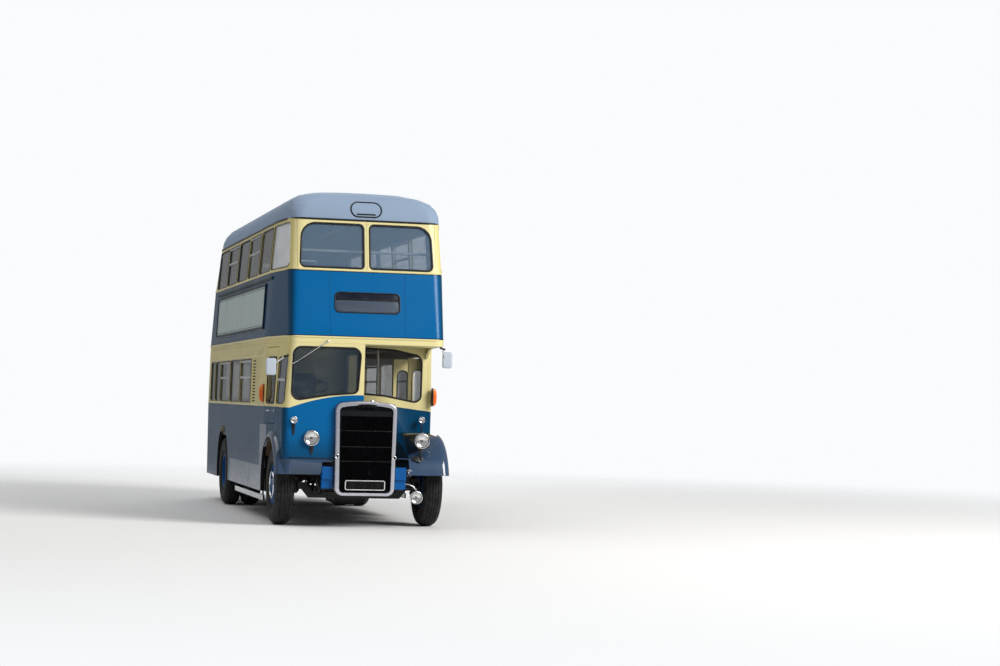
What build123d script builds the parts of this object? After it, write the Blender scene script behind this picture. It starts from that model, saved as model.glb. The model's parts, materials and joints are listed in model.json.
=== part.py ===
from build123d import *
import os
from collections import namedtuple
from math import cos, radians, sin

# A half-cab double decker bus, in millimetres, in its own frame: the front faces -Y, the nearside is +X,
# +Z is up, and the origin is on the ground at the middle of the whole box. Distances back are measured from
# the cab's front.
os.makedirs("parts", exist_ok=True)

# The whole bus
LENGTH = 7945
WIDTH = 2284
HEIGHT = 4402
RADIATOR_STAND = 80
LAMP_STAND = 20
CAB_Y = -LENGTH / 2 + RADIATOR_STAND
REAR_Y = LENGTH / 2 - LAMP_STAND
SIDE_X = WIDTH / 2

# Heights of the body's lines above the ground
SKIRT_Z = 400
WAIST_Z = 1524
BAND_Z = 2351
BAND_TOP_Z = 2442
UPPER_WAIST_Z = 3283
ROOF_RISE = 445
DRIP_Z = HEIGHT - ROOF_RISE

# Walls, glass and clearances
WALL = 42
ROOF_WALL = 36
GLASS_INSET = 12
GLASS = 6
GLASS_GAP = 1
JOINT_GAP = 1.5
MOVING_GAP = 8
TAPER = 1150
TAPER_EASE = 3600

# The body's plan at each line: how far the side tucks in, how much narrower the nose is, how far back the
# full width is reached, how far front and rear set back, and the radii of the front and rear corners
Level = namedtuple("Level", "z tuck nose_in shoulder front_set rear_set front_r rear_r")
SKIRT = Level(SKIRT_Z, 8, 80, TAPER, 0, 0, 110, 210)
WAIST = Level(WAIST_Z, 0, 80, TAPER, 0, 0, 110, 210)
BAND = Level(BAND_Z, 12, 127, TAPER, 0, 0, 120, 215)
BAND_TOP = Level(BAND_TOP_Z, 13, 127, TAPER, 0, 0, 120, 215)
UPPER_WAIST = Level(UPPER_WAIST_Z, 49, 92, TAPER, 170, 135, 150, 240)
DRIP = Level(DRIP_Z, 99, 60, TAPER, 310, 395, 190, 300)

# The roof above the drip: share of its rise, then how far side, front and rear close in, and the corner radii
RoofStep = namedtuple("RoofStep", "rise side front rear front_r rear_r")
ROOF_STEPS = (
    RoofStep(0.24, 13, 24, 30, 200, 320),
    RoofStep(0.44, 48, 66, 80, 230, 350),
    RoofStep(0.62, 112, 140, 160, 270, 390),
    RoofStep(0.765, 215, 262, 290, 320, 430),
    RoofStep(0.88, 380, 460, 500, 350, 430),
    RoofStep(0.96, 620, 780, 820, 300, 300),
    RoofStep(1.0, 860, 1150, 1150, 120, 120),
)

# The nose's taper fades out by this share towards the crown
NOSE_FADE = 0.9

# Running gear
WHEELBASE = 4978
FRONT_OVERHANG = 706
TYRE_R = 510
TYRE_W = 250
RIM_R = 262
TWIN_GAP = 50
FRONT_TRACK_OUT = 1095
REAR_TRACK_OUT = 1121
KINGPIN_X = 800
ARCH_R = 690
REAR_ARCH_LEAD = 60
FRONT_AXLE_Y = CAB_Y + FRONT_OVERHANG
REAR_AXLE_Y = FRONT_AXLE_Y + WHEELBASE
AXLE_Z = TYRE_R
REAR_ARCH_Y = REAR_AXLE_Y - REAR_ARCH_LEAD
STUB_R = 38
HUB_R = 105

# Chassis frame
RAIL_OUT = 430
RAIL_W = 75
RAIL_LOW = 520
RAIL_TOP = 700
RAIL_NOTCH = 110
RAIL_REAR = 7350
SPRING_W = 80
SPRING_GAP = 20
TOW_EYE = 55
TOW_R = 20
IRON_OUT = 545
IRON_LOW = 500
IRON_STEP = 620
IRON_TOP = 780

# Front of the bus
BULKHEAD = 1333
BULKHEAD_Y = CAB_Y + BULKHEAD
CAB_REAR_Y = CAB_Y + 1160
GUSSET_X = 1040
GUSSET_T = 34
GUSSET_FRONT = 860
GUSSET_DROP = 150
CAB_INNER_X = -30
CAB_PANEL_Z = 870
CAB_FLOOR_Z = 1070
FLOOR_T = 30
ENGINE_HALF = 330
COVER_HALF = 395
BONNET_Z = 1590
BONNET_LOW = 1040
COVER_T = 12

# Radiator
FRONT_FACE_Y = -LENGTH / 2
PLATE_T = 8
RADIATOR_Y = FRONT_FACE_Y + PLATE_T
GRILLE_SET = 14
RADIATOR_LOW = 414
RADIATOR_TOP = 1621
RADIATOR_HALF = 400
RADIATOR_DEPTH = 142
RADIATOR_RIM = 52
RADIATOR_RISE = 36
RADIATOR_FOOT = 38
RADIATOR_GAP = 6
SLAT_PITCH = 20
SLAT_T = 6
SLAT_DEEP = 30
SLATS_A_SIDE = 16
CAP_X = 80
CAP_R = 28
CAP_RISE = 24
PLATE = (-270, 270, 481, 620)

# Decks
LOWER_FLOOR_Z = 720
STEP_Z = 470
STEP_IN = 578
FLOOR_BOARD = 18
UPPER_FLOOR_Z = 2500
DECK_T = 55
BOX_REACH = TYRE_R + 60
BOX_TOP = AXLE_Z + TYRE_R + 70

# Staircase: its width, where it starts and ends behind the cab's front, and its steps
STAIR_X = (-1075, -500)
STAIR_Y = (2440, 1390)
STEPS = 8
TREAD_T = 22
RISER_T = 18

# Windows
WINDOW_R = 45
LOWER_SILL = 1565
LOWER_HEAD = 2165
UPPER_SILL = 3325
UPPER_HEAD = 3905
PILLAR = 92

# Distances back of the pillars' middles, lower saloon and upper saloon
LOWER_PILLARS = (2540, 3770, 4925, 6120, 6810, 7426)
UPPER_PILLARS = (1325, 2490, 3670, 4845, 6050, 7292)
UPPER_REAR = 7300
CAB_QUARTER = (50, 450)

# Louvres beside the stairs
LOUVRE_Y = (2150, 2490)
LOUVRES = 14
LOUVRE_PITCH = 42
LOUVRE_OPEN = 18
LOUVRE_DEEP = 22

# Entrance
ENTRANCE = (1420, 2498)
ENTRANCE_HEAD = 2240
LEAF_T = 24
LEAVES = 4
FOLD_GAP = 6
HEAD_GAP = 25


def back(distance):
    """The y of a place this far behind the cab's front."""
    return CAB_Y + distance


def block(x0, x1, y0, y1, z0, z1, mode=Mode.ADD):
    """A box between two corners, in the part being built."""
    with Locations(((x0 + x1) / 2, (y0 + y1) / 2, (z0 + z1) / 2)):
        Box(abs(x1 - x0), abs(y1 - y0), abs(z1 - z0), mode=mode)


def rod(start, end, radius, mode=Mode.ADD):
    """A round bar between two points, in the part being built."""
    axis = Vector(*end) - Vector(*start)
    with BuildSketch(Plane(origin=start, z_dir=axis)) as section:
        Circle(radius)
    extrude(section.sketch, amount=axis.length, mode=mode)


def outline(level, inset):
    """The body's plan at one level, this far inside its outer skin."""
    side = SIDE_X - level.tuck - inset
    nose = side - level.nose_in
    front = CAB_Y + level.front_set + inset
    rear = REAR_Y - level.rear_set - inset
    shoulder = CAB_Y + level.shoulder
    corners = (
        (-nose, front, level.front_r - inset),
        (nose, front, level.front_r - inset),
        (side, shoulder, TAPER_EASE),
        (side, rear, level.rear_r - inset),
        (-side, rear, level.rear_r - inset),
        (-side, shoulder, TAPER_EASE),
    )
    with BuildSketch(Plane.XY.offset(level.z)) as plan:
        with BuildLine():
            FilletPolyline(
                *[(x, y) for x, y, radius in corners],
                radius=[radius for x, y, radius in corners],
                close=True,
            )
        make_face()
    return plan.sketch.face()


def core(levels, inset):
    """All that lies inside the skin between the first and last of the levels."""
    with BuildPart() as inside:
        loft([outline(level, inset) for level in levels], ruled=True)
    return inside.part


def shell(levels, outer, inner):
    """The skin between two insets, from the first level to the last."""
    with BuildPart() as ring:
        add(core(levels, outer))
        add(core(levels, inner), mode=Mode.SUBTRACT)
    return ring.part


def side_panel(y0, y1, z0, z1, radius):
    """A rounded opening seen from the side."""
    with BuildSketch(Plane.YZ) as hole:
        with Locations(((y0 + y1) / 2, (z0 + z1) / 2)):
            RectangleRounded(y1 - y0, z1 - z0, radius)
    return hole.sketch


def front_panel(corners, gap=0, plane=Plane.XZ):
    """An opening seen from the front: corners in order, each with x, z and its radius."""
    with BuildSketch(plane) as hole:
        with BuildLine():
            FilletPolyline(
                *[(across, z) for across, z, radius in corners],
                radius=[radius for across, z, radius in corners],
                close=True,
            )
        make_face()
        if gap:
            offset(amount=-gap)
    return hole.sketch


def bays(pillars):
    """The windows between neighbouring pillars: start and end, back from the cab."""
    return [(a + PILLAR / 2, b - PILLAR / 2) for a, b in zip(pillars, pillars[1:])]


def radiator_plan(inset, low):
    """The arched front of the radiator, this far inside its edge."""
    half = RADIATOR_HALF - inset
    shoulder = RADIATOR_TOP - RADIATOR_RISE - inset
    with BuildSketch(Plane.XZ.offset(-RADIATOR_Y)) as face:
        with BuildLine():
            Line((-half + 15, low), (half - 15, low))
            Line((half - 15, low), (half, shoulder))
            ThreePointArc((half, shoulder), (0, RADIATOR_TOP - inset), (-half, shoulder))
            Line((-half, shoulder), (-half + 15, low))
        make_face()
        top = face.vertices().group_by(Axis.Z)[-1]
        fillet(top, 105 - inset)
    return face.sketch


LOWER_LEVELS = (SKIRT, WAIST, BAND)
UPPER_LEVELS = (BAND, BAND_TOP, UPPER_WAIST, DRIP)
LOWER_WINDOWS = bays(LOWER_PILLARS)
UPPER_WINDOWS = bays(UPPER_PILLARS)

# The upper deck's quarter windows, whose front edge leans with the front: y, z and radius
UPPER_QUARTER = (
    (back(262), UPPER_SILL, WINDOW_R),
    (back(UPPER_PILLARS[0] - PILLAR / 2), UPPER_SILL, WINDOW_R),
    (back(UPPER_PILLARS[0] - PILLAR / 2), UPPER_HEAD, WINDOW_R),
    (back(396), UPPER_HEAD, WINDOW_R),
)

# Front windows, each corner with its x, z and radius
WINDSCREEN = (
    (-965, 1604, 100),
    (-475, 1690, 600),
    (-110, 1722, 70),
    (-75, 2296, 100),
    (-950, 2296, 100),
)
BULKHEAD_WINDOW = (
    (120, 1722, 40),
    (500, 1697, 500),
    (1000, 1606, 90),
    (1006, 2240, 110),
    (620, 2318, 700),
    (120, 2338, 40),
)
UPPER_FRONT_X = (38, 872)
UPPER_FRONT_WINDOW = (
    (UPPER_FRONT_X[0], UPPER_SILL, 45),
    (UPPER_FRONT_X[1], UPPER_SILL, 70),
    (UPPER_FRONT_X[1] - 25, UPPER_HEAD, 190),
    (UPPER_FRONT_X[0], UPPER_HEAD, 60),
)


def mirrored(corners):
    """The same opening on the other side of the middle."""
    return tuple((-x, z, radius) for x, z, radius in reversed(corners))


UPPER_FRONT_WINDOWS = (UPPER_FRONT_WINDOW, mirrored(UPPER_FRONT_WINDOW))
DESTINATION = (-430, 430, 2745, 3015)
REAR_DOOR = (-360, 360, 800, 2230)
REAR_DOOR_WINDOW = (-270, 270, 1560, 2120)
REAR_WINDOW_X = (450, 850)
EMERGENCY = (-520, 520, 3220, 3870)
CAB_DOOR = (500, 1120, 1300, 2300)
REAR_SPLIT = 420
FRONT_SPLIT = 480
UPPER_SPLIT = UPPER_PILLARS[0]

lower_shell = shell(LOWER_LEVELS, 0, WALL)
upper_shell = shell(UPPER_LEVELS, 0, WALL)
lower_pane = shell(LOWER_LEVELS, GLASS_INSET, GLASS_INSET + GLASS)
upper_pane = shell(UPPER_LEVELS, GLASS_INSET, GLASS_INSET + GLASS)

parts = {}


def finish(name, part):
    """Labels a finished piece and keeps it for writing."""
    part.label = name
    parts[name] = part


# Lower sides: one panelled wall a side, with its windows and rear wheel arch, split from the rear corner
LOWER_REAR_Y = REAR_Y - REAR_SPLIT
for name, hand, start in (("offside", -1, CAB_REAR_Y), ("nearside", 1, BULKHEAD_Y)):
    with BuildPart() as lower_side:
        add(lower_shell)
        block(
            hand * 600, hand * WIDTH, start, LOWER_REAR_Y - JOINT_GAP,
            SKIRT_Z, BAND_Z - JOINT_GAP, mode=Mode.INTERSECT,
        )
        for y0, y1 in LOWER_WINDOWS:
            extrude(
                side_panel(back(y0), back(y1), LOWER_SILL, LOWER_HEAD, WINDOW_R),
                amount=hand * WIDTH, mode=Mode.SUBTRACT,
            )
        for y in (FRONT_AXLE_Y, REAR_ARCH_Y):
            rod((0, y, AXLE_Z), (hand * WIDTH, y, AXLE_Z), ARCH_R, mode=Mode.SUBTRACT)
        if hand > 0:
            block(
                0, WIDTH, back(ENTRANCE[0]), back(ENTRANCE[1]), 0, ENTRANCE_HEAD,
                mode=Mode.SUBTRACT,
            )
        else:
            for index in range(LOUVRES):
                low = LOWER_SILL + 12 + index * LOUVRE_PITCH
                block(
                    -WIDTH, -SIDE_X + LOUVRE_DEEP, back(LOUVRE_Y[0]), back(LOUVRE_Y[1]),
                    low, low + LOUVRE_OPEN, mode=Mode.SUBTRACT,
                )
    finish("lower_side_" + name, lower_side.part)

# Lower rear: the tail with both corners, its middle door and two small windows
with BuildPart() as lower_rear:
    add(lower_shell)
    block(-WIDTH, WIDTH, LOWER_REAR_Y, REAR_Y + 1, SKIRT_Z, BAND_Z - JOINT_GAP, mode=Mode.INTERSECT)
    block(*REAR_DOOR[:2], REAR_Y - REAR_SPLIT, REAR_Y + 1, *REAR_DOOR[2:], mode=Mode.SUBTRACT)
    for hand in (-1, 1):
        with BuildSketch(Plane.XZ) as rear_window:
            with Locations((hand * sum(REAR_WINDOW_X) / 2, (LOWER_SILL + LOWER_HEAD) / 2)):
                RectangleRounded(
                    REAR_WINDOW_X[1] - REAR_WINDOW_X[0], LOWER_HEAD - LOWER_SILL, WINDOW_R
                )
        extrude(rear_window.sketch, amount=-LENGTH, mode=Mode.SUBTRACT)
finish("lower_rear", lower_rear.part)

with BuildPart() as rear_door:
    block(
        REAR_DOOR[0] + MOVING_GAP, REAR_DOOR[1] - MOVING_GAP, REAR_Y - WALL, REAR_Y,
        REAR_DOOR[2] + MOVING_GAP, REAR_DOOR[3] - MOVING_GAP,
    )
    with BuildSketch(Plane.XZ) as door_window:
        with Locations((0, sum(REAR_DOOR_WINDOW[2:]) / 2)):
            RectangleRounded(
                REAR_DOOR_WINDOW[1] - REAR_DOOR_WINDOW[0],
                REAR_DOOR_WINDOW[3] - REAR_DOOR_WINDOW[2], WINDOW_R,
            )
    extrude(door_window.sketch, amount=-LENGTH, mode=Mode.SUBTRACT)
finish("rear_door", rear_door.part)

# Radiator: a polished surround with an arched top, round a slatted grille
with BuildPart() as radiator_shell:
    extrude(radiator_plan(0, RADIATOR_LOW), amount=-RADIATOR_DEPTH)
    extrude(
        radiator_plan(RADIATOR_RIM, RADIATOR_LOW + RADIATOR_FOOT), amount=-RADIATOR_DEPTH,
        mode=Mode.SUBTRACT,
    )
    fillet(radiator_shell.faces().sort_by(Axis.Y)[0].outer_wire().edges(), 22)
    cap_foot = (CAP_X, RADIATOR_Y + RADIATOR_DEPTH / 2, RADIATOR_TOP - 20)
    rod(cap_foot, (cap_foot[0], cap_foot[1], RADIATOR_TOP + CAP_RISE), CAP_R)
finish("radiator_shell", radiator_shell.part)

with BuildPart() as radiator_grille:
    extrude(
        radiator_plan(RADIATOR_RIM + 1, RADIATOR_LOW + RADIATOR_FOOT + 1),
        amount=-RADIATOR_DEPTH,
    )
    grille_y = RADIATOR_Y + GRILLE_SET
    block(-RADIATOR_HALF, RADIATOR_HALF, FRONT_FACE_Y, grille_y, 0, HEIGHT, mode=Mode.SUBTRACT)
    for index in range(-SLATS_A_SIDE, SLATS_A_SIDE + 1):
        x = index * SLAT_PITCH
        block(
            x + SLAT_T / 2, x + SLAT_PITCH - SLAT_T / 2, grille_y, grille_y + SLAT_DEEP,
            RADIATOR_LOW + 80, RADIATOR_TOP - 190, mode=Mode.SUBTRACT,
        )
finish("radiator_grille", radiator_grille.part)

# Cab: the front panel with its windscreen, the side round the door, and the door itself
with BuildPart() as cab_front:
    add(lower_shell)
    block(
        -WIDTH, CAB_INNER_X, CAB_Y - 1, back(FRONT_SPLIT) - JOINT_GAP,
        CAB_PANEL_Z, BAND_Z - JOINT_GAP, mode=Mode.INTERSECT,
    )
    extrude(front_panel(WINDSCREEN), amount=LENGTH, mode=Mode.SUBTRACT)
    extrude(
        side_panel(back(CAB_QUARTER[0]), back(CAB_QUARTER[1]), LOWER_SILL, LOWER_HEAD, WINDOW_R),
        amount=-WIDTH, mode=Mode.SUBTRACT,
    )
    rod((0, FRONT_AXLE_Y, AXLE_Z), (-WIDTH, FRONT_AXLE_Y, AXLE_Z), ARCH_R, mode=Mode.SUBTRACT)
    extrude(
        radiator_plan(-RADIATOR_GAP, RADIATOR_LOW), amount=-RADIATOR_DEPTH - 2, mode=Mode.SUBTRACT
    )
finish("cab_front", cab_front.part)

with BuildPart() as cab_side:
    add(lower_shell)
    block(
        -WIDTH, -600, back(FRONT_SPLIT), CAB_REAR_Y - JOINT_GAP,
        CAB_PANEL_Z, BAND_Z - JOINT_GAP, mode=Mode.INTERSECT,
    )
    extrude(
        side_panel(back(CAB_DOOR[0]), back(CAB_DOOR[1]), CAB_DOOR[2], CAB_DOOR[3], 20),
        amount=-WIDTH, mode=Mode.SUBTRACT,
    )
    rod((0, FRONT_AXLE_Y, AXLE_Z), (-WIDTH, FRONT_AXLE_Y, AXLE_Z), ARCH_R, mode=Mode.SUBTRACT)
finish("cab_side", cab_side.part)

with BuildPart() as cab_door:
    add(lower_shell)
    extrude(
        side_panel(
            back(CAB_DOOR[0]) + MOVING_GAP, back(CAB_DOOR[1]) - MOVING_GAP,
            CAB_DOOR[2] + MOVING_GAP, CAB_DOOR[3] - MOVING_GAP, 20 - MOVING_GAP,
        ),
        amount=-WIDTH, mode=Mode.INTERSECT,
    )
    extrude(
        side_panel(back(CAB_DOOR[0]) + 75, back(CAB_DOOR[1]) - 75, LOWER_SILL, LOWER_HEAD, WINDOW_R),
        amount=-WIDTH, mode=Mode.SUBTRACT,
    )
finish("cab_door", cab_door.part)

# Cab inside: floor, wheel arch liner, engine cover and the wall over it, up to the canopy
with BuildPart() as cab_inner:
    liner_in = -SIDE_X + WALL + 12
    liner_to = -KINGPIN_X + 60
    liner = ((liner_in, FRONT_AXLE_Y, AXLE_Z), (liner_to, FRONT_AXLE_Y, AXLE_Z))
    rod(*liner, ARCH_R)
    rod(*liner, ARCH_R - COVER_T, mode=Mode.SUBTRACT)
    block(-WIDTH, 0, back(-400), BULKHEAD_Y + 400, -HEIGHT, CAB_PANEL_Z, mode=Mode.SUBTRACT)
    block(-WIDTH, 0, CAB_Y - 400, back(WALL) + 2, 0, HEIGHT, mode=Mode.SUBTRACT)
    block(-WIDTH, 0, BULKHEAD_Y - JOINT_GAP, BULKHEAD_Y + 400, 0, HEIGHT, mode=Mode.SUBTRACT)
    floor_y = (back(WALL) + 2, BULKHEAD_Y - JOINT_GAP)
    block(liner_to - COVER_T, -COVER_HALF, *floor_y, CAB_FLOOR_Z - FLOOR_T, CAB_FLOOR_Z)
    block(-COVER_HALF, -COVER_HALF + COVER_T, *floor_y, CAB_FLOOR_Z - FLOOR_T, BONNET_Z)
    block(-COVER_HALF, CAB_INNER_X, *floor_y, BONNET_Z - COVER_T, BONNET_Z)
    block(
        CAB_INNER_X - COVER_T * 2, CAB_INNER_X, *floor_y, BONNET_Z - COVER_T, BAND_Z - JOINT_GAP
    )
    extrude(
        side_panel(back(260), back(1150), 1700, 2220, WINDOW_R), amount=-400, mode=Mode.SUBTRACT
    )
    with BuildSketch(Plane.YZ.offset(liner_to - COVER_T)) as cheek:
        with Locations((FRONT_AXLE_Y, AXLE_Z)):
            Circle(ARCH_R)
        with Locations((FRONT_AXLE_Y, CAB_FLOOR_Z - FLOOR_T - ARCH_R)):
            Rectangle(ARCH_R * 2, ARCH_R * 2, mode=Mode.SUBTRACT)
    extrude(cheek.sketch, amount=COVER_T)
    extrude(
        radiator_plan(-RADIATOR_GAP, RADIATOR_LOW), amount=-RADIATOR_DEPTH - 2, mode=Mode.SUBTRACT
    )
finish("cab_inner", cab_inner.part)

# Bulkhead across the front of the lower saloon, with its nearside window and a doorless gap to the engine
with BuildPart() as front_bulkhead:
    add(core(LOWER_LEVELS, WALL + 2))
    block(
        -WIDTH, WIDTH, BULKHEAD_Y, BULKHEAD_Y + WALL, RAIL_TOP + 2, BAND_Z - JOINT_GAP,
        mode=Mode.INTERSECT,
    )
    extrude(front_panel(BULKHEAD_WINDOW), amount=LENGTH, mode=Mode.SUBTRACT)
    gusset_top = BAND_Z - JOINT_GAP
    with BuildSketch(Plane.YZ.offset(GUSSET_X)) as gusset:
        with BuildLine():
            Line((back(GUSSET_FRONT), gusset_top - 6), (back(GUSSET_FRONT), gusset_top))
            Line((back(GUSSET_FRONT), gusset_top), (BULKHEAD_Y + 5, gusset_top))
            Line((BULKHEAD_Y + 5, gusset_top), (BULKHEAD_Y + 5, gusset_top - GUSSET_DROP))
            ThreePointArc(
                (BULKHEAD_Y + 5, gusset_top - GUSSET_DROP), (back(1162), gusset_top - 48),
                (back(GUSSET_FRONT), gusset_top - 6),
            )
        make_face()
    extrude(gusset.sketch, amount=GUSSET_T)
finish("front_bulkhead", front_bulkhead.part)

# Upper deck walls
UPPER_REAR_Y = back(UPPER_REAR)
for name, hand in (("offside", -1), ("nearside", 1)):
    with BuildPart() as upper_side:
        add(upper_shell)
        block(
            hand * 600, hand * WIDTH, back(UPPER_SPLIT), UPPER_REAR_Y - JOINT_GAP, BAND_Z, DRIP_Z,
            mode=Mode.INTERSECT,
        )
        for y0, y1 in UPPER_WINDOWS:
            extrude(
                side_panel(back(y0), back(y1), UPPER_SILL, UPPER_HEAD, WINDOW_R),
                amount=hand * WIDTH, mode=Mode.SUBTRACT,
            )
    finish("upper_side_" + name, upper_side.part)

with BuildPart() as upper_front:
    add(upper_shell)
    block(
        -WIDTH, WIDTH, CAB_Y - 1, back(UPPER_SPLIT) - JOINT_GAP, BAND_Z, DRIP_Z,
        mode=Mode.INTERSECT,
    )
    for corners in UPPER_FRONT_WINDOWS:
        extrude(front_panel(corners), amount=LENGTH, mode=Mode.SUBTRACT)
    extrude(
        front_panel(UPPER_QUARTER, plane=Plane.YZ), amount=WIDTH, both=True, mode=Mode.SUBTRACT
    )
    block(*DESTINATION[:2], CAB_Y - 1, back(FRONT_SPLIT), *DESTINATION[2:], mode=Mode.SUBTRACT)
finish("upper_front", upper_front.part)

with BuildPart() as upper_rear:
    add(upper_shell)
    block(-WIDTH, WIDTH, UPPER_REAR_Y, REAR_Y + 1, BAND_Z, DRIP_Z, mode=Mode.INTERSECT)
    block(*EMERGENCY[:2], REAR_Y - 700, REAR_Y + 1, *EMERGENCY[2:], mode=Mode.SUBTRACT)
finish("upper_rear", upper_rear.part)

with BuildPart() as emergency_window:
    add(upper_shell)
    block(
        EMERGENCY[0] + MOVING_GAP, EMERGENCY[1] - MOVING_GAP, REAR_Y - 700, REAR_Y + 1,
        EMERGENCY[2] + MOVING_GAP, EMERGENCY[3] - MOVING_GAP, mode=Mode.INTERSECT,
    )
    with BuildSketch(Plane.XZ) as escape_pane:
        with Locations((0, (EMERGENCY[2] + EMERGENCY[3]) / 2)):
            RectangleRounded(
                EMERGENCY[1] - EMERGENCY[0] - 2 * PILLAR,
                EMERGENCY[3] - EMERGENCY[2] - 1.6 * PILLAR, WINDOW_R,
            )
    extrude(escape_pane.sketch, amount=-LENGTH, mode=Mode.SUBTRACT)
finish("emergency_window", emergency_window.part)

# Roof: a hollow dome from the drip up
roof_levels = [DRIP] + [
    Level(
        DRIP_Z + step.rise * ROOF_RISE, DRIP.tuck + step.side,
        DRIP.nose_in * (1 - NOSE_FADE * step.rise),
        TAPER + step.front, DRIP.front_set + step.front, DRIP.rear_set + step.rear,
        step.front_r, step.rear_r,
    )
    for step in ROOF_STEPS
]
roof_inner = [
    level._replace(z=level.z - (ROOF_WALL if level.z > DRIP_Z else 0)) for level in roof_levels
]
with BuildPart() as roof:
    loft([outline(level, 0) for level in roof_levels], ruled=True)
    loft([outline(level, ROOF_WALL) for level in roof_inner], ruled=True, mode=Mode.SUBTRACT)
finish("roof", roof.part)

# Floors
with BuildPart() as upper_floor:
    add(core(UPPER_LEVELS, WALL + 2))
    block(
        -WIDTH, WIDTH, CAB_Y, REAR_Y, UPPER_FLOOR_Z - DECK_T, UPPER_FLOOR_Z, mode=Mode.INTERSECT
    )
    block(
        -WIDTH, STAIR_X[1] + 20, back(STAIR_Y[1]) - 4, back(STAIR_Y[0]), BAND_Z, HEIGHT,
        mode=Mode.SUBTRACT,
    )
finish("upper_floor", upper_floor.part)

with BuildPart() as canopy:
    add(core(UPPER_LEVELS, WALL + 2))
    block(
        -WIDTH, WIDTH, CAB_Y, BULKHEAD_Y + WALL, BAND_Z + 1, BAND_Z + 31, mode=Mode.INTERSECT
    )
finish("canopy", canopy.part)

with BuildPart() as lower_floor:
    add(core(LOWER_LEVELS, WALL + 2))
    floor_low = LOWER_FLOOR_Z - FLOOR_BOARD
    block(
        -WIDTH, WIDTH, BULKHEAD_Y + WALL + 2, REAR_Y, floor_low, LOWER_FLOOR_Z, mode=Mode.INTERSECT
    )
    block(
        STEP_IN, WIDTH, back(ENTRANCE[0]) - 45, back(ENTRANCE[1]) + 45, floor_low, LOWER_FLOOR_Z,
        mode=Mode.SUBTRACT,
    )
    step_y = (back(ENTRANCE[0]) + 1, back(ENTRANCE[1]) - 1)
    block(STEP_IN - FLOOR_BOARD, STEP_IN, *step_y, STEP_Z, LOWER_FLOOR_Z)
    block(STEP_IN - FLOOR_BOARD, SIDE_X - GLASS_INSET, *step_y, STEP_Z, STEP_Z + FLOOR_BOARD)
    for hand in (-1, 1):
        inner = hand * (REAR_TRACK_OUT - 2 * TYRE_W - TWIN_GAP - 28)
        outer = hand * (SIDE_X - WALL - 12)
        fore = REAR_AXLE_Y - BOX_REACH
        aft = REAR_AXLE_Y + BOX_REACH
        block(inner, outer, fore, aft, floor_low, BOX_TOP)
        block(
            inner + hand * 15, hand * SIDE_X, fore + 15, aft - 15, floor_low, BOX_TOP - 15,
            mode=Mode.SUBTRACT,
        )
finish("lower_floor", lower_floor.part)

# Chassis frame: two rails, cross members and the dumb irons that carry the radiator
with BuildPart() as chassis_frame:
    for hand in (-1, 1):
        rail_x = (hand * (RAIL_OUT - RAIL_W), hand * RAIL_OUT)
        block(*rail_x, back(70), back(RAIL_REAR), RAIL_LOW, RAIL_TOP)
        block(
            *rail_x, REAR_AXLE_Y - 220, REAR_AXLE_Y + 220, RAIL_LOW, RAIL_LOW + RAIL_NOTCH,
            mode=Mode.SUBTRACT,
        )
        iron_in = hand * (RADIATOR_HALF + RADIATOR_GAP)
        iron_out = hand * IRON_OUT
        block(iron_in, iron_out, back(15), back(95), IRON_LOW, IRON_TOP)
        block(iron_in, iron_out, back(-10), back(95), IRON_STEP, IRON_TOP)
        eye = ((iron_in + iron_out) / 2, back(TOW_EYE))
        rod((*eye, IRON_LOW - 10), (*eye, IRON_TOP + 10), TOW_R, mode=Mode.SUBTRACT)
    for distance in (95, 2000, 3300, 4700, 6300, RAIL_REAR - 60):
        block(-RAIL_OUT, RAIL_OUT, back(distance), back(distance + 60), RAIL_LOW + 70, RAIL_TOP - 20)
    for hand, distances in ((-1, (1500, 2480, 4300, 7150)), (1, (2560, 4300, 7150))):
        for distance in distances:
            block(
                hand * RAIL_OUT, hand * (SIDE_X - WALL - 14), back(distance), back(distance + 50),
                640, RAIL_TOP,
            )
finish("chassis_frame", chassis_frame.part)

# Engine with gearbox: one plain mass behind the radiator
with BuildPart() as engine_block:
    block(-ENGINE_HALF, ENGINE_HALF, back(200), back(1230), 715, 1500)
    block(-250, 250, back(200), back(1230), 440, 715)
    block(-190, 190, back(1230), back(1900), 400, 690)
finish("engine_block", engine_block.part)

with BuildPart() as fuel_tank:
    block(-RAIL_OUT - 480, -RAIL_OUT, back(2560), back(3700), 330, 625)
    fillet(fuel_tank.edges().filter_by(Axis.Y), 45)
finish("fuel_tank", fuel_tank.part)

# Axles with their leaf springs
with BuildPart() as front_axle:
    beam_x = KINGPIN_X - 52
    block(-560, 560, FRONT_AXLE_Y - 45, FRONT_AXLE_Y + 45, 350, 432)
    for hand in (-1, 1):
        with BuildSketch(Plane.XZ.offset(-FRONT_AXLE_Y - 40)) as horn:
            with BuildLine():
                Polyline(
                    (hand * 480, 350), (hand * 600, 350), (hand * 690, 460), (hand * beam_x, 460),
                    (hand * beam_x, 560), (hand * 640, 545), (hand * 545, 430), close=True,
                )
            make_face()
        extrude(horn.sketch, amount=80)
        rod((hand * KINGPIN_X, FRONT_AXLE_Y, 455), (hand * KINGPIN_X, FRONT_AXLE_Y, 565), 50)
        spring_x = (hand * (RAIL_OUT + SPRING_GAP - 2), hand * (RAIL_OUT + SPRING_GAP + SPRING_W))
        for leaf in range(6):
            half = 560 - 75 * leaf
            block(*spring_x, FRONT_AXLE_Y - half, FRONT_AXLE_Y + half, 482 - 10 * leaf, 494 - 10 * leaf)
finish("front_axle", front_axle.part)

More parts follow.
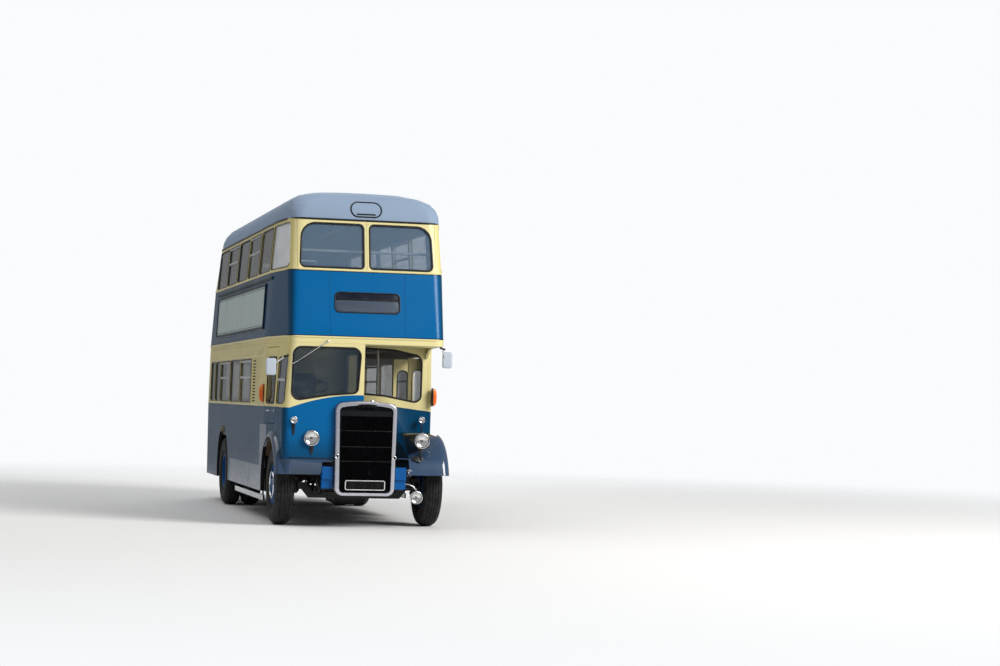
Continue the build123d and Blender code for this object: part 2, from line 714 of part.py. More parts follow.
with BuildPart() as rear_axle:
    spring_out = RAIL_OUT + SPRING_GAP + SPRING_W
    rod((-700, REAR_AXLE_Y, AXLE_Z), (700, REAR_AXLE_Y, AXLE_Z), 62)
    with Locations((0, REAR_AXLE_Y, AXLE_Z)):
        Sphere(185)
    block(
        -400, 400, REAR_AXLE_Y - 190, REAR_AXLE_Y + 190, AXLE_Z + 100, AXLE_Z + 200,
        mode=Mode.SUBTRACT,
    )
    for hand in (-1, 1):
        spring_x = (hand * (RAIL_OUT + SPRING_GAP), hand * spring_out)
        for leaf in range(7):
            half = 640 - 80 * leaf
            block(*spring_x, REAR_AXLE_Y - half, REAR_AXLE_Y + half, 452 - 10 * leaf, 464 - 10 * leaf)
    rod((0, back(1930), 540), (0, REAR_AXLE_Y - 150, AXLE_Z), 45)
finish("rear_axle", rear_axle.part)

# Wheels. A tyre is a ring of straight facets, and a disc is turned about its axle.
TYRE_PROFILE = (
    (-0.32, 0), (-0.46, 0.14), (-0.5, 0.45), (-0.46, 0.8), (-0.36, 0.965), (-0.2, 1.0),
    (0.2, 1.0), (0.36, 0.965), (0.46, 0.8), (0.5, 0.45), (0.46, 0.14), (0.32, 0),
)


def tyre(x_middle, y):
    """A tyre about an axle at this y, in the part being built."""
    points = [(x_middle + u * TYRE_W, RIM_R + v * (TYRE_R - RIM_R)) for u, v in TYRE_PROFILE]
    with BuildSketch(Plane(origin=(0, y, AXLE_Z), x_dir=(1, 0, 0), z_dir=(0, -1, 0))) as section:
        with BuildLine():
            Polyline(*points, close=True)
        make_face()
    revolve(section.sketch, axis=Axis((0, y, AXLE_Z), (1, 0, 0)))


def disc(x_middle, y, points):
    """A turned wheel centre: points give the distance out from the middle and the radius."""
    with BuildSketch(Plane(origin=(0, y, AXLE_Z), x_dir=(1, 0, 0), z_dir=(0, -1, 0))) as section:
        with BuildLine():
            Polyline(*[(x_middle + u, r) for u, r in points], close=True)
        make_face()
    revolve(section.sketch, axis=Axis((0, y, AXLE_Z), (1, 0, 0)))


BORE_R = STUB_R + 1
for name, hand in (("offside", -1), ("nearside", 1)):
    middle = FRONT_TRACK_OUT - TYRE_W / 2
    with BuildPart() as front_tyre:
        tyre(hand * middle, FRONT_AXLE_Y)
    finish("front_tyre_" + name, front_tyre.part)

    front_points = [
        (-95, RIM_R - 0.5), (-95, RIM_R - 14), (-55, RIM_R - 34), (20, RIM_R - 36), (35, 150), (12, HUB_R),
        (-70, HUB_R), (-70, BORE_R), (66, BORE_R), (66, 0), (104, 0), (104, 62), (84, 78),
        (62, 150), (52, 176), (44, RIM_R - 30), (80, RIM_R - 16), (95, RIM_R - 14), (95, RIM_R - 0.5),
    ]
    with BuildPart() as front_disc:
        disc(hand * middle, FRONT_AXLE_Y, [(hand * u, r) for u, r in front_points])
    finish("front_wheel_" + name, front_disc.part)

    # The knuckle: a fork on the kingpin and the stub axle that the wheel turns on
    with BuildPart() as knuckle:
        pin = hand * KINGPIN_X
        block(pin - 45, pin + 45, FRONT_AXLE_Y - 50, FRONT_AXLE_Y + 50, 572, 612)
        block(pin - 45, pin + 45, FRONT_AXLE_Y - 50, FRONT_AXLE_Y + 50, 408, 448)
        block(pin + hand * 56, pin + hand * 76, FRONT_AXLE_Y - 50, FRONT_AXLE_Y + 50, 408, 612)
        block(pin + hand * 40, pin + hand * 60, FRONT_AXLE_Y - 50, FRONT_AXLE_Y + 50, 572, 612)
        block(pin + hand * 40, pin + hand * 60, FRONT_AXLE_Y - 50, FRONT_AXLE_Y + 50, 408, 448)
        rod((pin + hand * 60, FRONT_AXLE_Y, AXLE_Z), (hand * (middle + 60), FRONT_AXLE_Y, AXLE_Z), STUB_R)
    finish("steering_knuckle_" + name, knuckle.part)

    # The rear twins: two tyres on one double disc
    outer = REAR_TRACK_OUT - TYRE_W / 2
    inner = outer - TYRE_W - TWIN_GAP
    with BuildPart() as rear_tyres:
        tyre(hand * outer, REAR_AXLE_Y)
        tyre(hand * inner, REAR_AXLE_Y)
    finish("rear_tyres_" + name, rear_tyres.part)

    rim = RIM_R - 0.5
    with BuildPart() as rear_disc:
        for u0, u1 in ((-95, 95), (-TYRE_W - TWIN_GAP - 95, -TYRE_W - TWIN_GAP + 95)):
            ring = [(u0, rim), (u0, rim - 34), (u1, rim - 34), (u1, rim)]
            disc(hand * outer, REAR_AXLE_Y, [(hand * u, r) for u, r in ring])
        web = [
            (-60, rim - 30), (-140, 190), (-140, HUB_R), (20, HUB_R), (20, 0), (-250, 0), (-250, HUB_R),
            (-164, HUB_R), (-164, 190), (-240, rim - 30), (-228, rim - 30), (-152, 205), (-72, rim - 30),
        ]
        disc(hand * outer, REAR_AXLE_Y, [(hand * u, r) for u, r in web])
        rod((hand * 690, REAR_AXLE_Y, AXLE_Z), (hand * 900, REAR_AXLE_Y, AXLE_Z), 64, mode=Mode.SUBTRACT)
    finish("rear_wheel_" + name, rear_disc.part)

# Bonnet: hinged along the cab wall, its nearside cheek hanging down
with BuildPart() as bonnet_lid:
    lid_y = (RADIATOR_Y + RADIATOR_DEPTH + MOVING_GAP, BULKHEAD_Y - MOVING_GAP)
    block(CAB_INNER_X + MOVING_GAP, COVER_HALF, *lid_y, BONNET_Z - COVER_T, BONNET_Z)
    block(COVER_HALF - COVER_T, COVER_HALF, *lid_y, BONNET_LOW, BONNET_Z)
    fillet(bonnet_lid.edges().filter_by(Axis.Y).sort_by(Axis.Z)[-1], 8)
finish("bonnet_lid", bonnet_lid.part)

# Wings: a guard turned about the axle with a rounded shoulder and lip. The nearside one reaches in to the
# engine and has a flat apron; the offside one is a narrow flange that runs into the apron below the cab's front.
Guard = namedtuple("Guard", "x_in x_round x_out top lip")
NEARSIDE_GUARD = Guard(596, SIDE_X - 107, SIDE_X - 2, ARCH_R + 22, 600)
OFFSIDE_GUARD = Guard(157 - SIDE_X, 72 - SIDE_X, -SIDE_X, ARCH_R + 18, 640)
GUARD_T = 14
GUARD_LOW = 683
APRON_Z = (880, 896)
APRON_IN = 440
FLANGE_BACK = 1080

# The apron below the cab's front, with a strip across to the radiator
CAB_APRON = (
    (-1300, 867, 5),
    (-1300, 675, 5),
    (-552, 675, 45),
    (-545, 838, 15),
    (-408, 838, 5),
    (-408, 867, 5),
)


def guard_section(guard, inset):
    """The line over a wheel guard, from its inner edge round to its lip, this far inside the outer face."""
    hand = 1 if guard.x_out > 0 else -1
    out = guard.x_out - hand * inset
    top = guard.top - inset
    bend = (guard.x_round + (out - guard.x_round) * 0.707, guard.lip + (top - guard.lip) * 0.707)
    return (guard.x_in, top), (guard.x_round, top), bend, (out, guard.lip), (out, guard.lip - 15)


def wheel_guard(guard):
    """A whole ring of the guard about the front axle, in the part being built."""
    outer = guard_section(guard, 0)
    inner = guard_section(guard, GUARD_T)
    plane = Plane(origin=(0, FRONT_AXLE_Y, AXLE_Z), x_dir=(1, 0, 0), z_dir=(0, -1, 0))
    with BuildSketch(plane) as section:
        with BuildLine():
            Line(outer[0], outer[1])
            ThreePointArc(outer[1], outer[2], outer[3])
            Line(outer[3], outer[4])
            Line(outer[4], inner[4])
            Line(inner[4], inner[3])
            ThreePointArc(inner[3], inner[2], inner[1])
            Line(inner[1], inner[0])
            Line(inner[0], outer[0])
        make_face()
    revolve(section.sketch, axis=Axis((0, FRONT_AXLE_Y, AXLE_Z), (1, 0, 0)))


with BuildPart() as wing_nearside:
    wheel_guard(NEARSIDE_GUARD)
    block(0, WIDTH, back(-400), BULKHEAD_Y + 400, -HEIGHT, GUARD_LOW, mode=Mode.SUBTRACT)
    block(0, WIDTH, BULKHEAD_Y - 4, BULKHEAD_Y + 400, 0, HEIGHT, mode=Mode.SUBTRACT)
    block(APRON_IN, NEARSIDE_GUARD.x_in + GUARD_T, back(120), BULKHEAD_Y - 4, *APRON_Z)
    with BuildSketch(Plane.YZ.offset(NEARSIDE_GUARD.x_in)) as cheek:
        with Locations((FRONT_AXLE_Y, AXLE_Z)):
            Circle(NEARSIDE_GUARD.top)
        with Locations((FRONT_AXLE_Y, APRON_Z[0] - 1000)):
            Rectangle(2000, 2000, mode=Mode.SUBTRACT)
        with Locations((BULKHEAD_Y + 498, AXLE_Z)):
            Rectangle(1000, 4000, mode=Mode.SUBTRACT)
    extrude(cheek.sketch, amount=GUARD_T)
finish("wing_nearside", wing_nearside.part)

with BuildPart() as cab_solid:
    add(core(LOWER_LEVELS, -1))
    block(-WIDTH, WIDTH, CAB_Y - 1, REAR_Y + 1, 0, CAB_PANEL_Z - 3, mode=Mode.SUBTRACT)
with BuildPart() as cab_apron:
    add(lower_shell)
    extrude(front_panel(CAB_APRON), amount=LENGTH, mode=Mode.INTERSECT)
    block(-WIDTH, 0, CAB_Y - 1, FRONT_AXLE_Y, 0, HEIGHT, mode=Mode.INTERSECT)
    rod((0, FRONT_AXLE_Y, AXLE_Z), (-WIDTH, FRONT_AXLE_Y, AXLE_Z), ARCH_R, mode=Mode.SUBTRACT)
with BuildPart() as wing_offside:
    wheel_guard(OFFSIDE_GUARD)
    block(-WIDTH, 0, back(-400), back(FLANGE_BACK) + 400, -HEIGHT, GUARD_LOW - 8, mode=Mode.SUBTRACT)
    block(-WIDTH, 0, back(FLANGE_BACK), back(FLANGE_BACK) + 1000, 0, HEIGHT, mode=Mode.SUBTRACT)
    add(cab_solid.part, mode=Mode.SUBTRACT)
    add(cab_apron.part)
finish("wing_offside", wing_offside.part)

# Glass: panes just inside the skin, a hair smaller than their openings
with BuildPart() as bulkhead_pane:
    extrude(front_panel(BULKHEAD_WINDOW, GLASS_GAP), amount=LENGTH)
    pane_y = BULKHEAD_Y + GLASS_INSET
    block(-WIDTH, WIDTH, pane_y, pane_y + GLASS, 0, HEIGHT, mode=Mode.INTERSECT)
with BuildPart() as lower_glass:
    for hand in (-1, 1):
        for y0, y1 in LOWER_WINDOWS:
            extrude(
                side_panel(
                    back(y0) + GLASS_GAP, back(y1) - GLASS_GAP, LOWER_SILL + GLASS_GAP,
                    LOWER_HEAD - GLASS_GAP, WINDOW_R - GLASS_GAP,
                ),
                amount=hand * WIDTH,
            )
        with BuildSketch(Plane.XZ) as rear_pane:
            with Locations((hand * sum(REAR_WINDOW_X) / 2, (LOWER_SILL + LOWER_HEAD) / 2)):
                RectangleRounded(
                    REAR_WINDOW_X[1] - REAR_WINDOW_X[0] - 2 * GLASS_GAP,
                    LOWER_HEAD - LOWER_SILL - 2 * GLASS_GAP, WINDOW_R - GLASS_GAP,
                )
        extrude(rear_pane.sketch, amount=-LENGTH)
    add(lower_pane, mode=Mode.INTERSECT)
    add(bulkhead_pane.part)
finish("lower_glass", lower_glass.part)

with BuildPart() as screen_pane:
    extrude(front_panel(WINDSCREEN, GLASS_GAP), amount=LENGTH)
    add(lower_pane, mode=Mode.INTERSECT)
with BuildPart() as quarter_pane:
    extrude(
        side_panel(
            back(CAB_QUARTER[0]) + GLASS_GAP, back(CAB_QUARTER[1]) - GLASS_GAP,
            LOWER_SILL + GLASS_GAP, LOWER_HEAD - GLASS_GAP, WINDOW_R - GLASS_GAP,
        ),
        amount=-WIDTH,
    )
    add(lower_pane, mode=Mode.INTERSECT)
with BuildPart() as cab_glass:
    add(screen_pane.part)
    add(quarter_pane.part)
finish("cab_glass", cab_glass.part)

with BuildPart() as front_panes:
    for corners in UPPER_FRONT_WINDOWS:
        extrude(front_panel(corners, GLASS_GAP), amount=LENGTH)
    add(upper_pane, mode=Mode.INTERSECT)
with BuildPart() as side_panes:
    for hand in (-1, 1):
        extrude(front_panel(UPPER_QUARTER, GLASS_GAP, Plane.YZ), amount=hand * WIDTH)
        for y0, y1 in UPPER_WINDOWS:
            extrude(
                side_panel(
                    back(y0) + GLASS_GAP, back(y1) - GLASS_GAP,
                    UPPER_SILL + GLASS_GAP, UPPER_HEAD - GLASS_GAP, WINDOW_R - GLASS_GAP,
                ),
                amount=hand * WIDTH,
            )
    add(upper_pane, mode=Mode.INTERSECT)
with BuildPart() as upper_glass:
    add(front_panes.part)
    add(side_panes.part)
finish("upper_glass", upper_glass.part)

# Seats: cushion and back in one padded piece each, in rows either side of a gangway
SEAT_HIGH = 430
SEAT_DEEP = 400
SEAT_BACK = 470
SEAT_THICK = 95
BACK_THICK = 70
BACK_LEAN = 70
SEAT_GAP = 12
SEAT_WIDE = 840
SEAT_PITCH = 715
LOWER_ROWS = (3100, 3800, 4500, LENGTH - 1225, LENGTH - 585)
UPPER_ROWS = (900, 1640, 2355, 3070, 3785, 4500, 5215, 5930, 6645)


def bench(x0, x1, y, floor):
    """A bench seat facing forwards, its back's foot at y, in the part being built."""
    low = floor + SEAT_HIGH - SEAT_THICK
    top = floor + SEAT_HIGH
    high = top + SEAT_BACK
    with BuildSketch(Plane.YZ.offset(x0)) as side:
        with BuildLine():
            FilletPolyline(
                (y - SEAT_DEEP, low), (y + BACK_THICK, low), (y + BACK_THICK + BACK_LEAN, high),
                (y + BACK_LEAN, high), (y, top), (y - SEAT_DEEP, top),
                radius=[30, 30, 30, 30, 20, 30], close=True,
            )
        make_face()
    extrude(side.sketch, amount=x1 - x0)


DRIVER_SEAT = (-960, -480)
DRIVER_Y = 960
with BuildPart() as lower_seats:
    edge = SIDE_X - WALL - SEAT_GAP - 15
    for hand in (-1, 1):
        for distance in LOWER_ROWS:
            bench(
                *sorted((hand * (edge - SEAT_WIDE), hand * edge)), back(distance), LOWER_FLOOR_Z
            )
        side_y = (REAR_AXLE_Y - BOX_REACH + 20, REAR_AXLE_Y + BOX_REACH - 20)
        block(hand * (edge - 450), hand * edge, *side_y, BOX_TOP + 2, BOX_TOP + 72)
        block(hand * (edge - BACK_THICK), hand * edge, *side_y, BOX_TOP + 72, BOX_TOP + SEAT_BACK)
finish("lower_seats", lower_seats.part)

with BuildPart() as upper_seats:
    edge = SIDE_X - UPPER_WAIST.tuck - WALL - SEAT_GAP - 15
    for distance in UPPER_ROWS:
        for hand in (-1, 1):
            if hand < 0 and 900 < distance < 2900:
                continue
            narrow = UPPER_WAIST.nose_in if distance < TAPER else 0
            bench(
                *sorted((hand * (edge - SEAT_WIDE), hand * (edge - narrow))), back(distance),
                UPPER_FLOOR_Z,
            )
finish("upper_seats", upper_seats.part)

with BuildPart() as driver_seat:
    bench(*DRIVER_SEAT, back(DRIVER_Y), CAB_FLOOR_Z + 10)
finish("driver_seat", driver_seat.part)

# Staircase: from the platform, forwards and up the offside to the upper deck
with BuildPart() as staircase:
    rise = (UPPER_FLOOR_Z - LOWER_FLOOR_Z) / (STEPS + 1)
    run = (STAIR_Y[0] - STAIR_Y[1]) / STEPS
    for index in range(STEPS):
        y_back = back(STAIR_Y[0] - index * run)
        z_top = LOWER_FLOOR_Z + (index + 1) * rise
        block(*STAIR_X, y_back - run, y_back, z_top - TREAD_T, z_top)
        block(*STAIR_X, y_back - RISER_T, y_back, max(z_top - rise - TREAD_T, LOWER_FLOOR_Z), z_top)
    with BuildSketch(Plane.YZ.offset(STAIR_X[1])) as string:
        with BuildLine():
            Polyline(
                (back(STAIR_Y[0]), LOWER_FLOOR_Z), (back(STAIR_Y[0]), LOWER_FLOOR_Z + rise + 60),
                (back(STAIR_Y[1]), UPPER_FLOOR_Z - DECK_T - 2),
                (back(STAIR_Y[1]), UPPER_FLOOR_Z - DECK_T - rise - 130),
                (back(STAIR_Y[0]) - 100, LOWER_FLOOR_Z),
                close=True,
            )
        make_face()
    extrude(string.sketch, amount=18)
finish("staircase", staircase.part)

# Grab rails and seat legs
TUBE_R = 16
with BuildPart() as grab_rails:
    for distance in LOWER_ROWS:
        for hand in (-1, 1):
            x = hand * (SIDE_X - WALL - SEAT_GAP - SEAT_WIDE)
            foot = (x, back(distance) - 150, LOWER_FLOOR_Z)
            rod(foot, (x, foot[1], LOWER_FLOOR_Z + SEAT_HIGH - SEAT_THICK), TUBE_R)
    for distance in UPPER_ROWS:
        for hand in (-1, 1):
            if hand < 0 and 900 < distance < 2900:
                continue
            x = hand * (SIDE_X - UPPER_WAIST.tuck - WALL - SEAT_GAP - SEAT_WIDE)
            foot = (x, back(distance) - 150, UPPER_FLOOR_Z)
            rod(foot, (x, foot[1], UPPER_FLOOR_Z + SEAT_HIGH - SEAT_THICK), TUBE_R)
    for x, y in ((430, 1500), (-430, 2560)):
        rod((x, back(y), LOWER_FLOOR_Z), (x, back(y), UPPER_FLOOR_Z - DECK_T), TUBE_R)
finish("grab_rails", grab_rails.part)

# Steering wheel on its column
WHEEL_X = -640
WHEEL_Z = 1790
WHEEL_R = 240
with BuildPart() as steering_wheel:
    hub = Plane(origin=(WHEEL_X, back(560), WHEEL_Z), z_dir=(0, 0.34, 0.94))
    with BuildSketch(Plane(origin=hub.origin, x_dir=hub.x_dir, z_dir=hub.y_dir)) as grip:
        with Locations((WHEEL_R, 0)):
            Circle(13)
    revolve(grip.sketch, axis=Axis(hub.origin, hub.z_dir))
    for turn in (0, 120, 240):
        reach = hub.x_dir * cos(radians(turn + 90)) + hub.y_dir * sin(radians(turn + 90))
        rod(hub.origin, hub.origin + reach * WHEEL_R, 8)
    rod(hub.origin - hub.z_dir * 60, hub.origin + hub.z_dir * 12, 34)
finish("steering_wheel", steering_wheel.part)

with BuildPart() as steering_column:
    rod(hub.origin - hub.z_dir * 62, hub.origin - hub.z_dir * 740, 26)
    block(-WIDTH, 0, CAB_Y, BULKHEAD_Y, 0, CAB_FLOOR_Z + 1, mode=Mode.SUBTRACT)
finish("steering_column", steering_column.part)

# Entrance: two pairs of jackknife leaves, folded open square to the side
LEAF_W = (ENTRANCE[1] - ENTRANCE[0] - 3 * MOVING_GAP - 2 * FOLD_GAP) / LEAVES
LEAF_LOW = STEP_Z + FLOOR_BOARD + MOVING_GAP
LEAF_HIGH = ENTRANCE_HEAD - HEAD_GAP
LEAF_X = SIDE_X - WALL


def leaf(y0, name):
    """One leaf standing square to the side, from its hinge line inwards."""
    with BuildPart() as door:
        block(LEAF_X - LEAF_W, LEAF_X, y0, y0 + LEAF_T, LEAF_LOW, LEAF_HIGH)
        with BuildSketch(Plane.XZ) as light:
            with BuildLine():
                middle = LEAF_X - LEAF_W / 2
                half = LEAF_W / 2 - 52
                Line((middle - half, 1010), (middle + half, 1010))
                Line((middle + half, 1010), (middle + half, 2060 - half))
                ThreePointArc((middle + half, 2060 - half), (middle, 2060), (middle - half, 2060 - half))
                Line((middle - half, 2060 - half), (middle - half, 1010))
            make_face()
        extrude(light.sketch, amount=LENGTH, both=True, mode=Mode.SUBTRACT)
    finish(name, door.part)


FORE_LEAF_Y = back(ENTRANCE[0]) + MOVING_GAP
AFT_LEAF_Y = back(ENTRANCE[1]) - MOVING_GAP - LEAF_T
leaf(FORE_LEAF_Y, "door_leaf_fore_outer")
leaf(FORE_LEAF_Y + LEAF_T + MOVING_GAP, "door_leaf_fore_inner")
leaf(AFT_LEAF_Y, "door_leaf_aft_outer")
leaf(AFT_LEAF_Y - LEAF_T - MOVING_GAP, "door_leaf_aft_inner")

# Lamps: bowls turned about the line of sight, as x, z, radius, front face and depth
Lamp = namedtuple("Lamp", "x z radius front depth")
LAMPS = (
    Lamp(-696, 1139, 100, -62, 60),
    Lamp(763, 1125, 100, 60, 120),
    Lamp(692, 401, 84, 0, 85),
    Lamp(-926, 1362, 45, -50, 48),
    Lamp(1000, 1385, 45, 1220, 70),
)


def bowl(lamp):
    """A lamp's bowl, its lens to the front, in the part being built."""
    y = back(lamp.front)
    r = lamp.radius
    with BuildSketch(Plane(origin=(lamp.x, y, lamp.z), x_dir=(1, 0, 0), z_dir=(0, 0, 1))) as half_bowl:
        with BuildLine():
            Line((0, 0), (r * 0.6, r * 0.06))
            Line((r * 0.6, r * 0.06), (r * 0.86, r * 0.16))
            Line((r * 0.86, r * 0.16), (r, r * 0.16))
            Line((r, r * 0.16), (r, r * 0.36))
            ThreePointArc((r, r * 0.36), (r * 0.78, lamp.depth * 0.8), (r * 0.3, lamp.depth))
            Line((r * 0.3, lamp.depth), (0, lamp.depth))
            Line((0, lamp.depth), (0, 0))
        make_face()
    revolve(half_bowl.sketch, axis=Axis((lamp.x, y, lamp.z), (0, 1, 0)))


TAIL_X = SIDE_X - 242

# The stems that carry the nearside lamps: where each starts under its lamp, and where it stands
LAMP_STEMS = (
    ((763, 130, 1060), (752, 70, 862), 11),
    ((1003, 1250, 1350), (1003, 1250, 992), 9),
    ((692, 45, 470), (692, 45, 512), 12),
)

with BuildPart() as lamps:
    for lamp in LAMPS:
        bowl(lamp)
    for (x0, y0, z0), (x1, y1, z1), radius in LAMP_STEMS:
        rod((x0, back(y0), z0), (x1, back(y1), z1), radius)
    block(IRON_OUT + 2, 704, back(28), back(62), 512, 522)
    for hand in (-1, 1):
        for z in (1010, 1130, 1250):
            rod((hand * TAIL_X, REAR_Y, z), (hand * TAIL_X, REAR_Y + LAMP_STAND, z), 42)
finish("lamps", lamps.part)

# Flashers: height, width and how far they stand off, and how far back and high their middles are
FLASHER = (246, 90, 60)
FLASHER_AT = (1275, 1695)
with BuildPart() as flashers:
    for hand in (-1, 1):
        with BuildSketch(Plane.YZ.offset(hand * (SIDE_X + 0.5))) as base:
            with Locations((back(FLASHER_AT[0]), FLASHER_AT[1])):
                SlotOverall(FLASHER[0], FLASHER[1], rotation=90)
        extrude(base.sketch, amount=hand * FLASHER[2], taper=14)
finish("flashers", flashers.part)

# Mirrors: a head on a bent arm each side
MIRROR_OUT = SIDE_X + 143
MIRROR_W = 132
with BuildPart() as mirrors:
    for hand, head_y, head_z, foot in (
        (-1, 100, 2032, (130 - SIDE_X, 60, 2180)),
        (1, 740, 2192, (SIDE_X - 82, 420, 2340)),
    ):
        x = hand * (MIRROR_OUT - MIRROR_W / 2)
        y = back(head_y)
        block(x - MIRROR_W / 2, x + MIRROR_W / 2, y - 12, y + 14, head_z - 108, head_z + 108)
        rod((x, y + 8, head_z), (x, y + 60, head_z), 11)
        elbow = (x, y + 50, head_z)
        rod(elbow, (foot[0] + hand * 12, back(foot[1]), foot[2]), 8)
finish("mirrors", mirrors.part)

# Boards along the sides, with their rails, standing just off the panels
BOARD = (1560, 6840, 2547, 3165)
BOARD_T = 9
with BuildPart() as boards:
    add(core(UPPER_LEVELS, -BOARD_T))
    add(core(UPPER_LEVELS, 0), mode=Mode.SUBTRACT)
    block(
        -WIDTH, -600, back(BOARD[0]), back(BOARD[1]), BOARD[2], BOARD[3], mode=Mode.INTERSECT
    )
with BuildPart() as boards_nearside:
    add(core(UPPER_LEVELS, -BOARD_T))
    add(core(UPPER_LEVELS, 0), mode=Mode.SUBTRACT)
    block(600, WIDTH, back(BOARD[0]), back(BOARD[1]), BOARD[2], BOARD[3], mode=Mode.INTERSECT)
with BuildPart() as side_boards:
    add(boards.part)
    add(boards_nearside.part)
finish("side_boards", side_boards.part)

with BuildPart() as destination_box:
    add(core(UPPER_LEVELS, 6))
    block(
        DESTINATION[0] + 1, DESTINATION[1] - 1, CAB_Y, back(230),
        DESTINATION[2] + 1, DESTINATION[3] - 1,
        mode=Mode.INTERSECT,
    )
finish("destination_box", destination_box.part)

with BuildPart() as number_plate:
    x0, x1, z0, z1 = PLATE
    block(x0, x1, FRONT_FACE_Y, RADIATOR_Y, z0, z1)
    block(x0 + 60, x1 - 60, RADIATOR_Y, RADIATOR_Y + GRILLE_SET, z0 + 25, z1 - 25)
finish("number_plate", number_plate.part)

# Lifeguard rails hung between the axles, one a side
with BuildPart() as lifeguards:
    for hand, distances in ((-1, (1500, 2900, 4200)), (1, (2620, 3400, 4200))):
        x = hand * (SIDE_X - 66)
        block(x - 12, x + 12, back(distances[0] - 60), back(distances[-1] + 180), 270, 340)
        for distance in distances:
            block(x - 8, x + 8, back(distance), back(distance + 60), 270, 638)
finish("lifeguards", lifeguards.part)

for name, part in parts.items():
    export_step(part, "parts/" + name + ".step")
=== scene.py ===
import json
from math import cos, pi, radians, sin
import bpy
import bmesh
import numpy as np
from mathutils import Matrix, Vector

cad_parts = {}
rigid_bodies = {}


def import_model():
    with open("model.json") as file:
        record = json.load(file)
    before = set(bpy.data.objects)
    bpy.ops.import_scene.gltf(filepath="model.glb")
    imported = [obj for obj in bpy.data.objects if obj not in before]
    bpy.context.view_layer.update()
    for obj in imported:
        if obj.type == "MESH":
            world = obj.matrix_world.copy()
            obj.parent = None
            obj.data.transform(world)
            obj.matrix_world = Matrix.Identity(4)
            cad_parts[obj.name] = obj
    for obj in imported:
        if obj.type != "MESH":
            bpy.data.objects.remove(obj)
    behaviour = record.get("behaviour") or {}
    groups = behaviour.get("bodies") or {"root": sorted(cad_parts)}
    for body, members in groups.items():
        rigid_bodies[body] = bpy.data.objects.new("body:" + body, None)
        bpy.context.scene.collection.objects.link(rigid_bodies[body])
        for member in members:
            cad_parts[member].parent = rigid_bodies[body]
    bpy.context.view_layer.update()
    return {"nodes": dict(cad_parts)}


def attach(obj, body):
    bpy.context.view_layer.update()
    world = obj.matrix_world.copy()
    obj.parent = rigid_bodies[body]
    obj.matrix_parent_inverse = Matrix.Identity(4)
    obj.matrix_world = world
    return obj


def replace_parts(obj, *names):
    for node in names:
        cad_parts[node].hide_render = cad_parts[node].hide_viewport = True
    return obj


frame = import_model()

# Chassis: a riveted steel frame painted black, with forged axles on leaf springs and an iron engine. All
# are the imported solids; what they need is their finish: old paint, grease and road dust. Distances back
# start at the cab's front, and the body's back is at REAR_Y.
CAB_Y = -3.8925
REAR_Y = 3.9525


def back(distance):
    """The y of a place this far behind the cab's front, in metres."""
    return CAB_Y + distance


class Wire:
    """One output of a shader node, so that sums can be written on it."""

    def __init__(self, finish, socket):
        self.finish = finish
        self.socket = socket

    def sum(self, operation, *terms):
        return self.finish.node("ShaderNodeMath", {"operation": operation}, terms)

    def __add__(self, other):
        return self.sum("ADD", self, other)

    def __sub__(self, other):
        return self.sum("SUBTRACT", self, other)

    def __rsub__(self, other):
        return self.sum("SUBTRACT", other, self)

    def __mul__(self, other):
        return self.sum("MULTIPLY", self, other)

    def __truediv__(self, other):
        return self.sum("DIVIDE", self, other)

    __radd__ = __add__
    __rmul__ = __mul__

    def size(self):
        return self.sum("ABSOLUTE", self)

    def root(self):
        return self.sum("SQRT", self)

    def most(self, other):
        return self.sum("MAXIMUM", self, other)

    def least(self, other):
        return self.sum("MINIMUM", self, other)

    def saw(self, pitch):
        """Runs from 0 to 1 again and again, once every pitch."""
        return self.sum("FRACT", self / pitch)

    def step(self, low, high):
        """0 below low, 1 above high, and smooth between."""
        return self.finish.node(
            "ShaderNodeMapRange", {"interpolation_type": "SMOOTHSTEP"},
            {"Value": self, "From Min": low, "From Max": high},
        )

    def below(self, low, high):
        """1 below low, 0 above high, and smooth between."""
        return 1 - self.step(low, high)

    def within(self, low, high, soft=0.002):
        """1 between two values, and 0 outside them."""
        return self.step(low - soft, low + soft) * self.below(high - soft, high + soft)


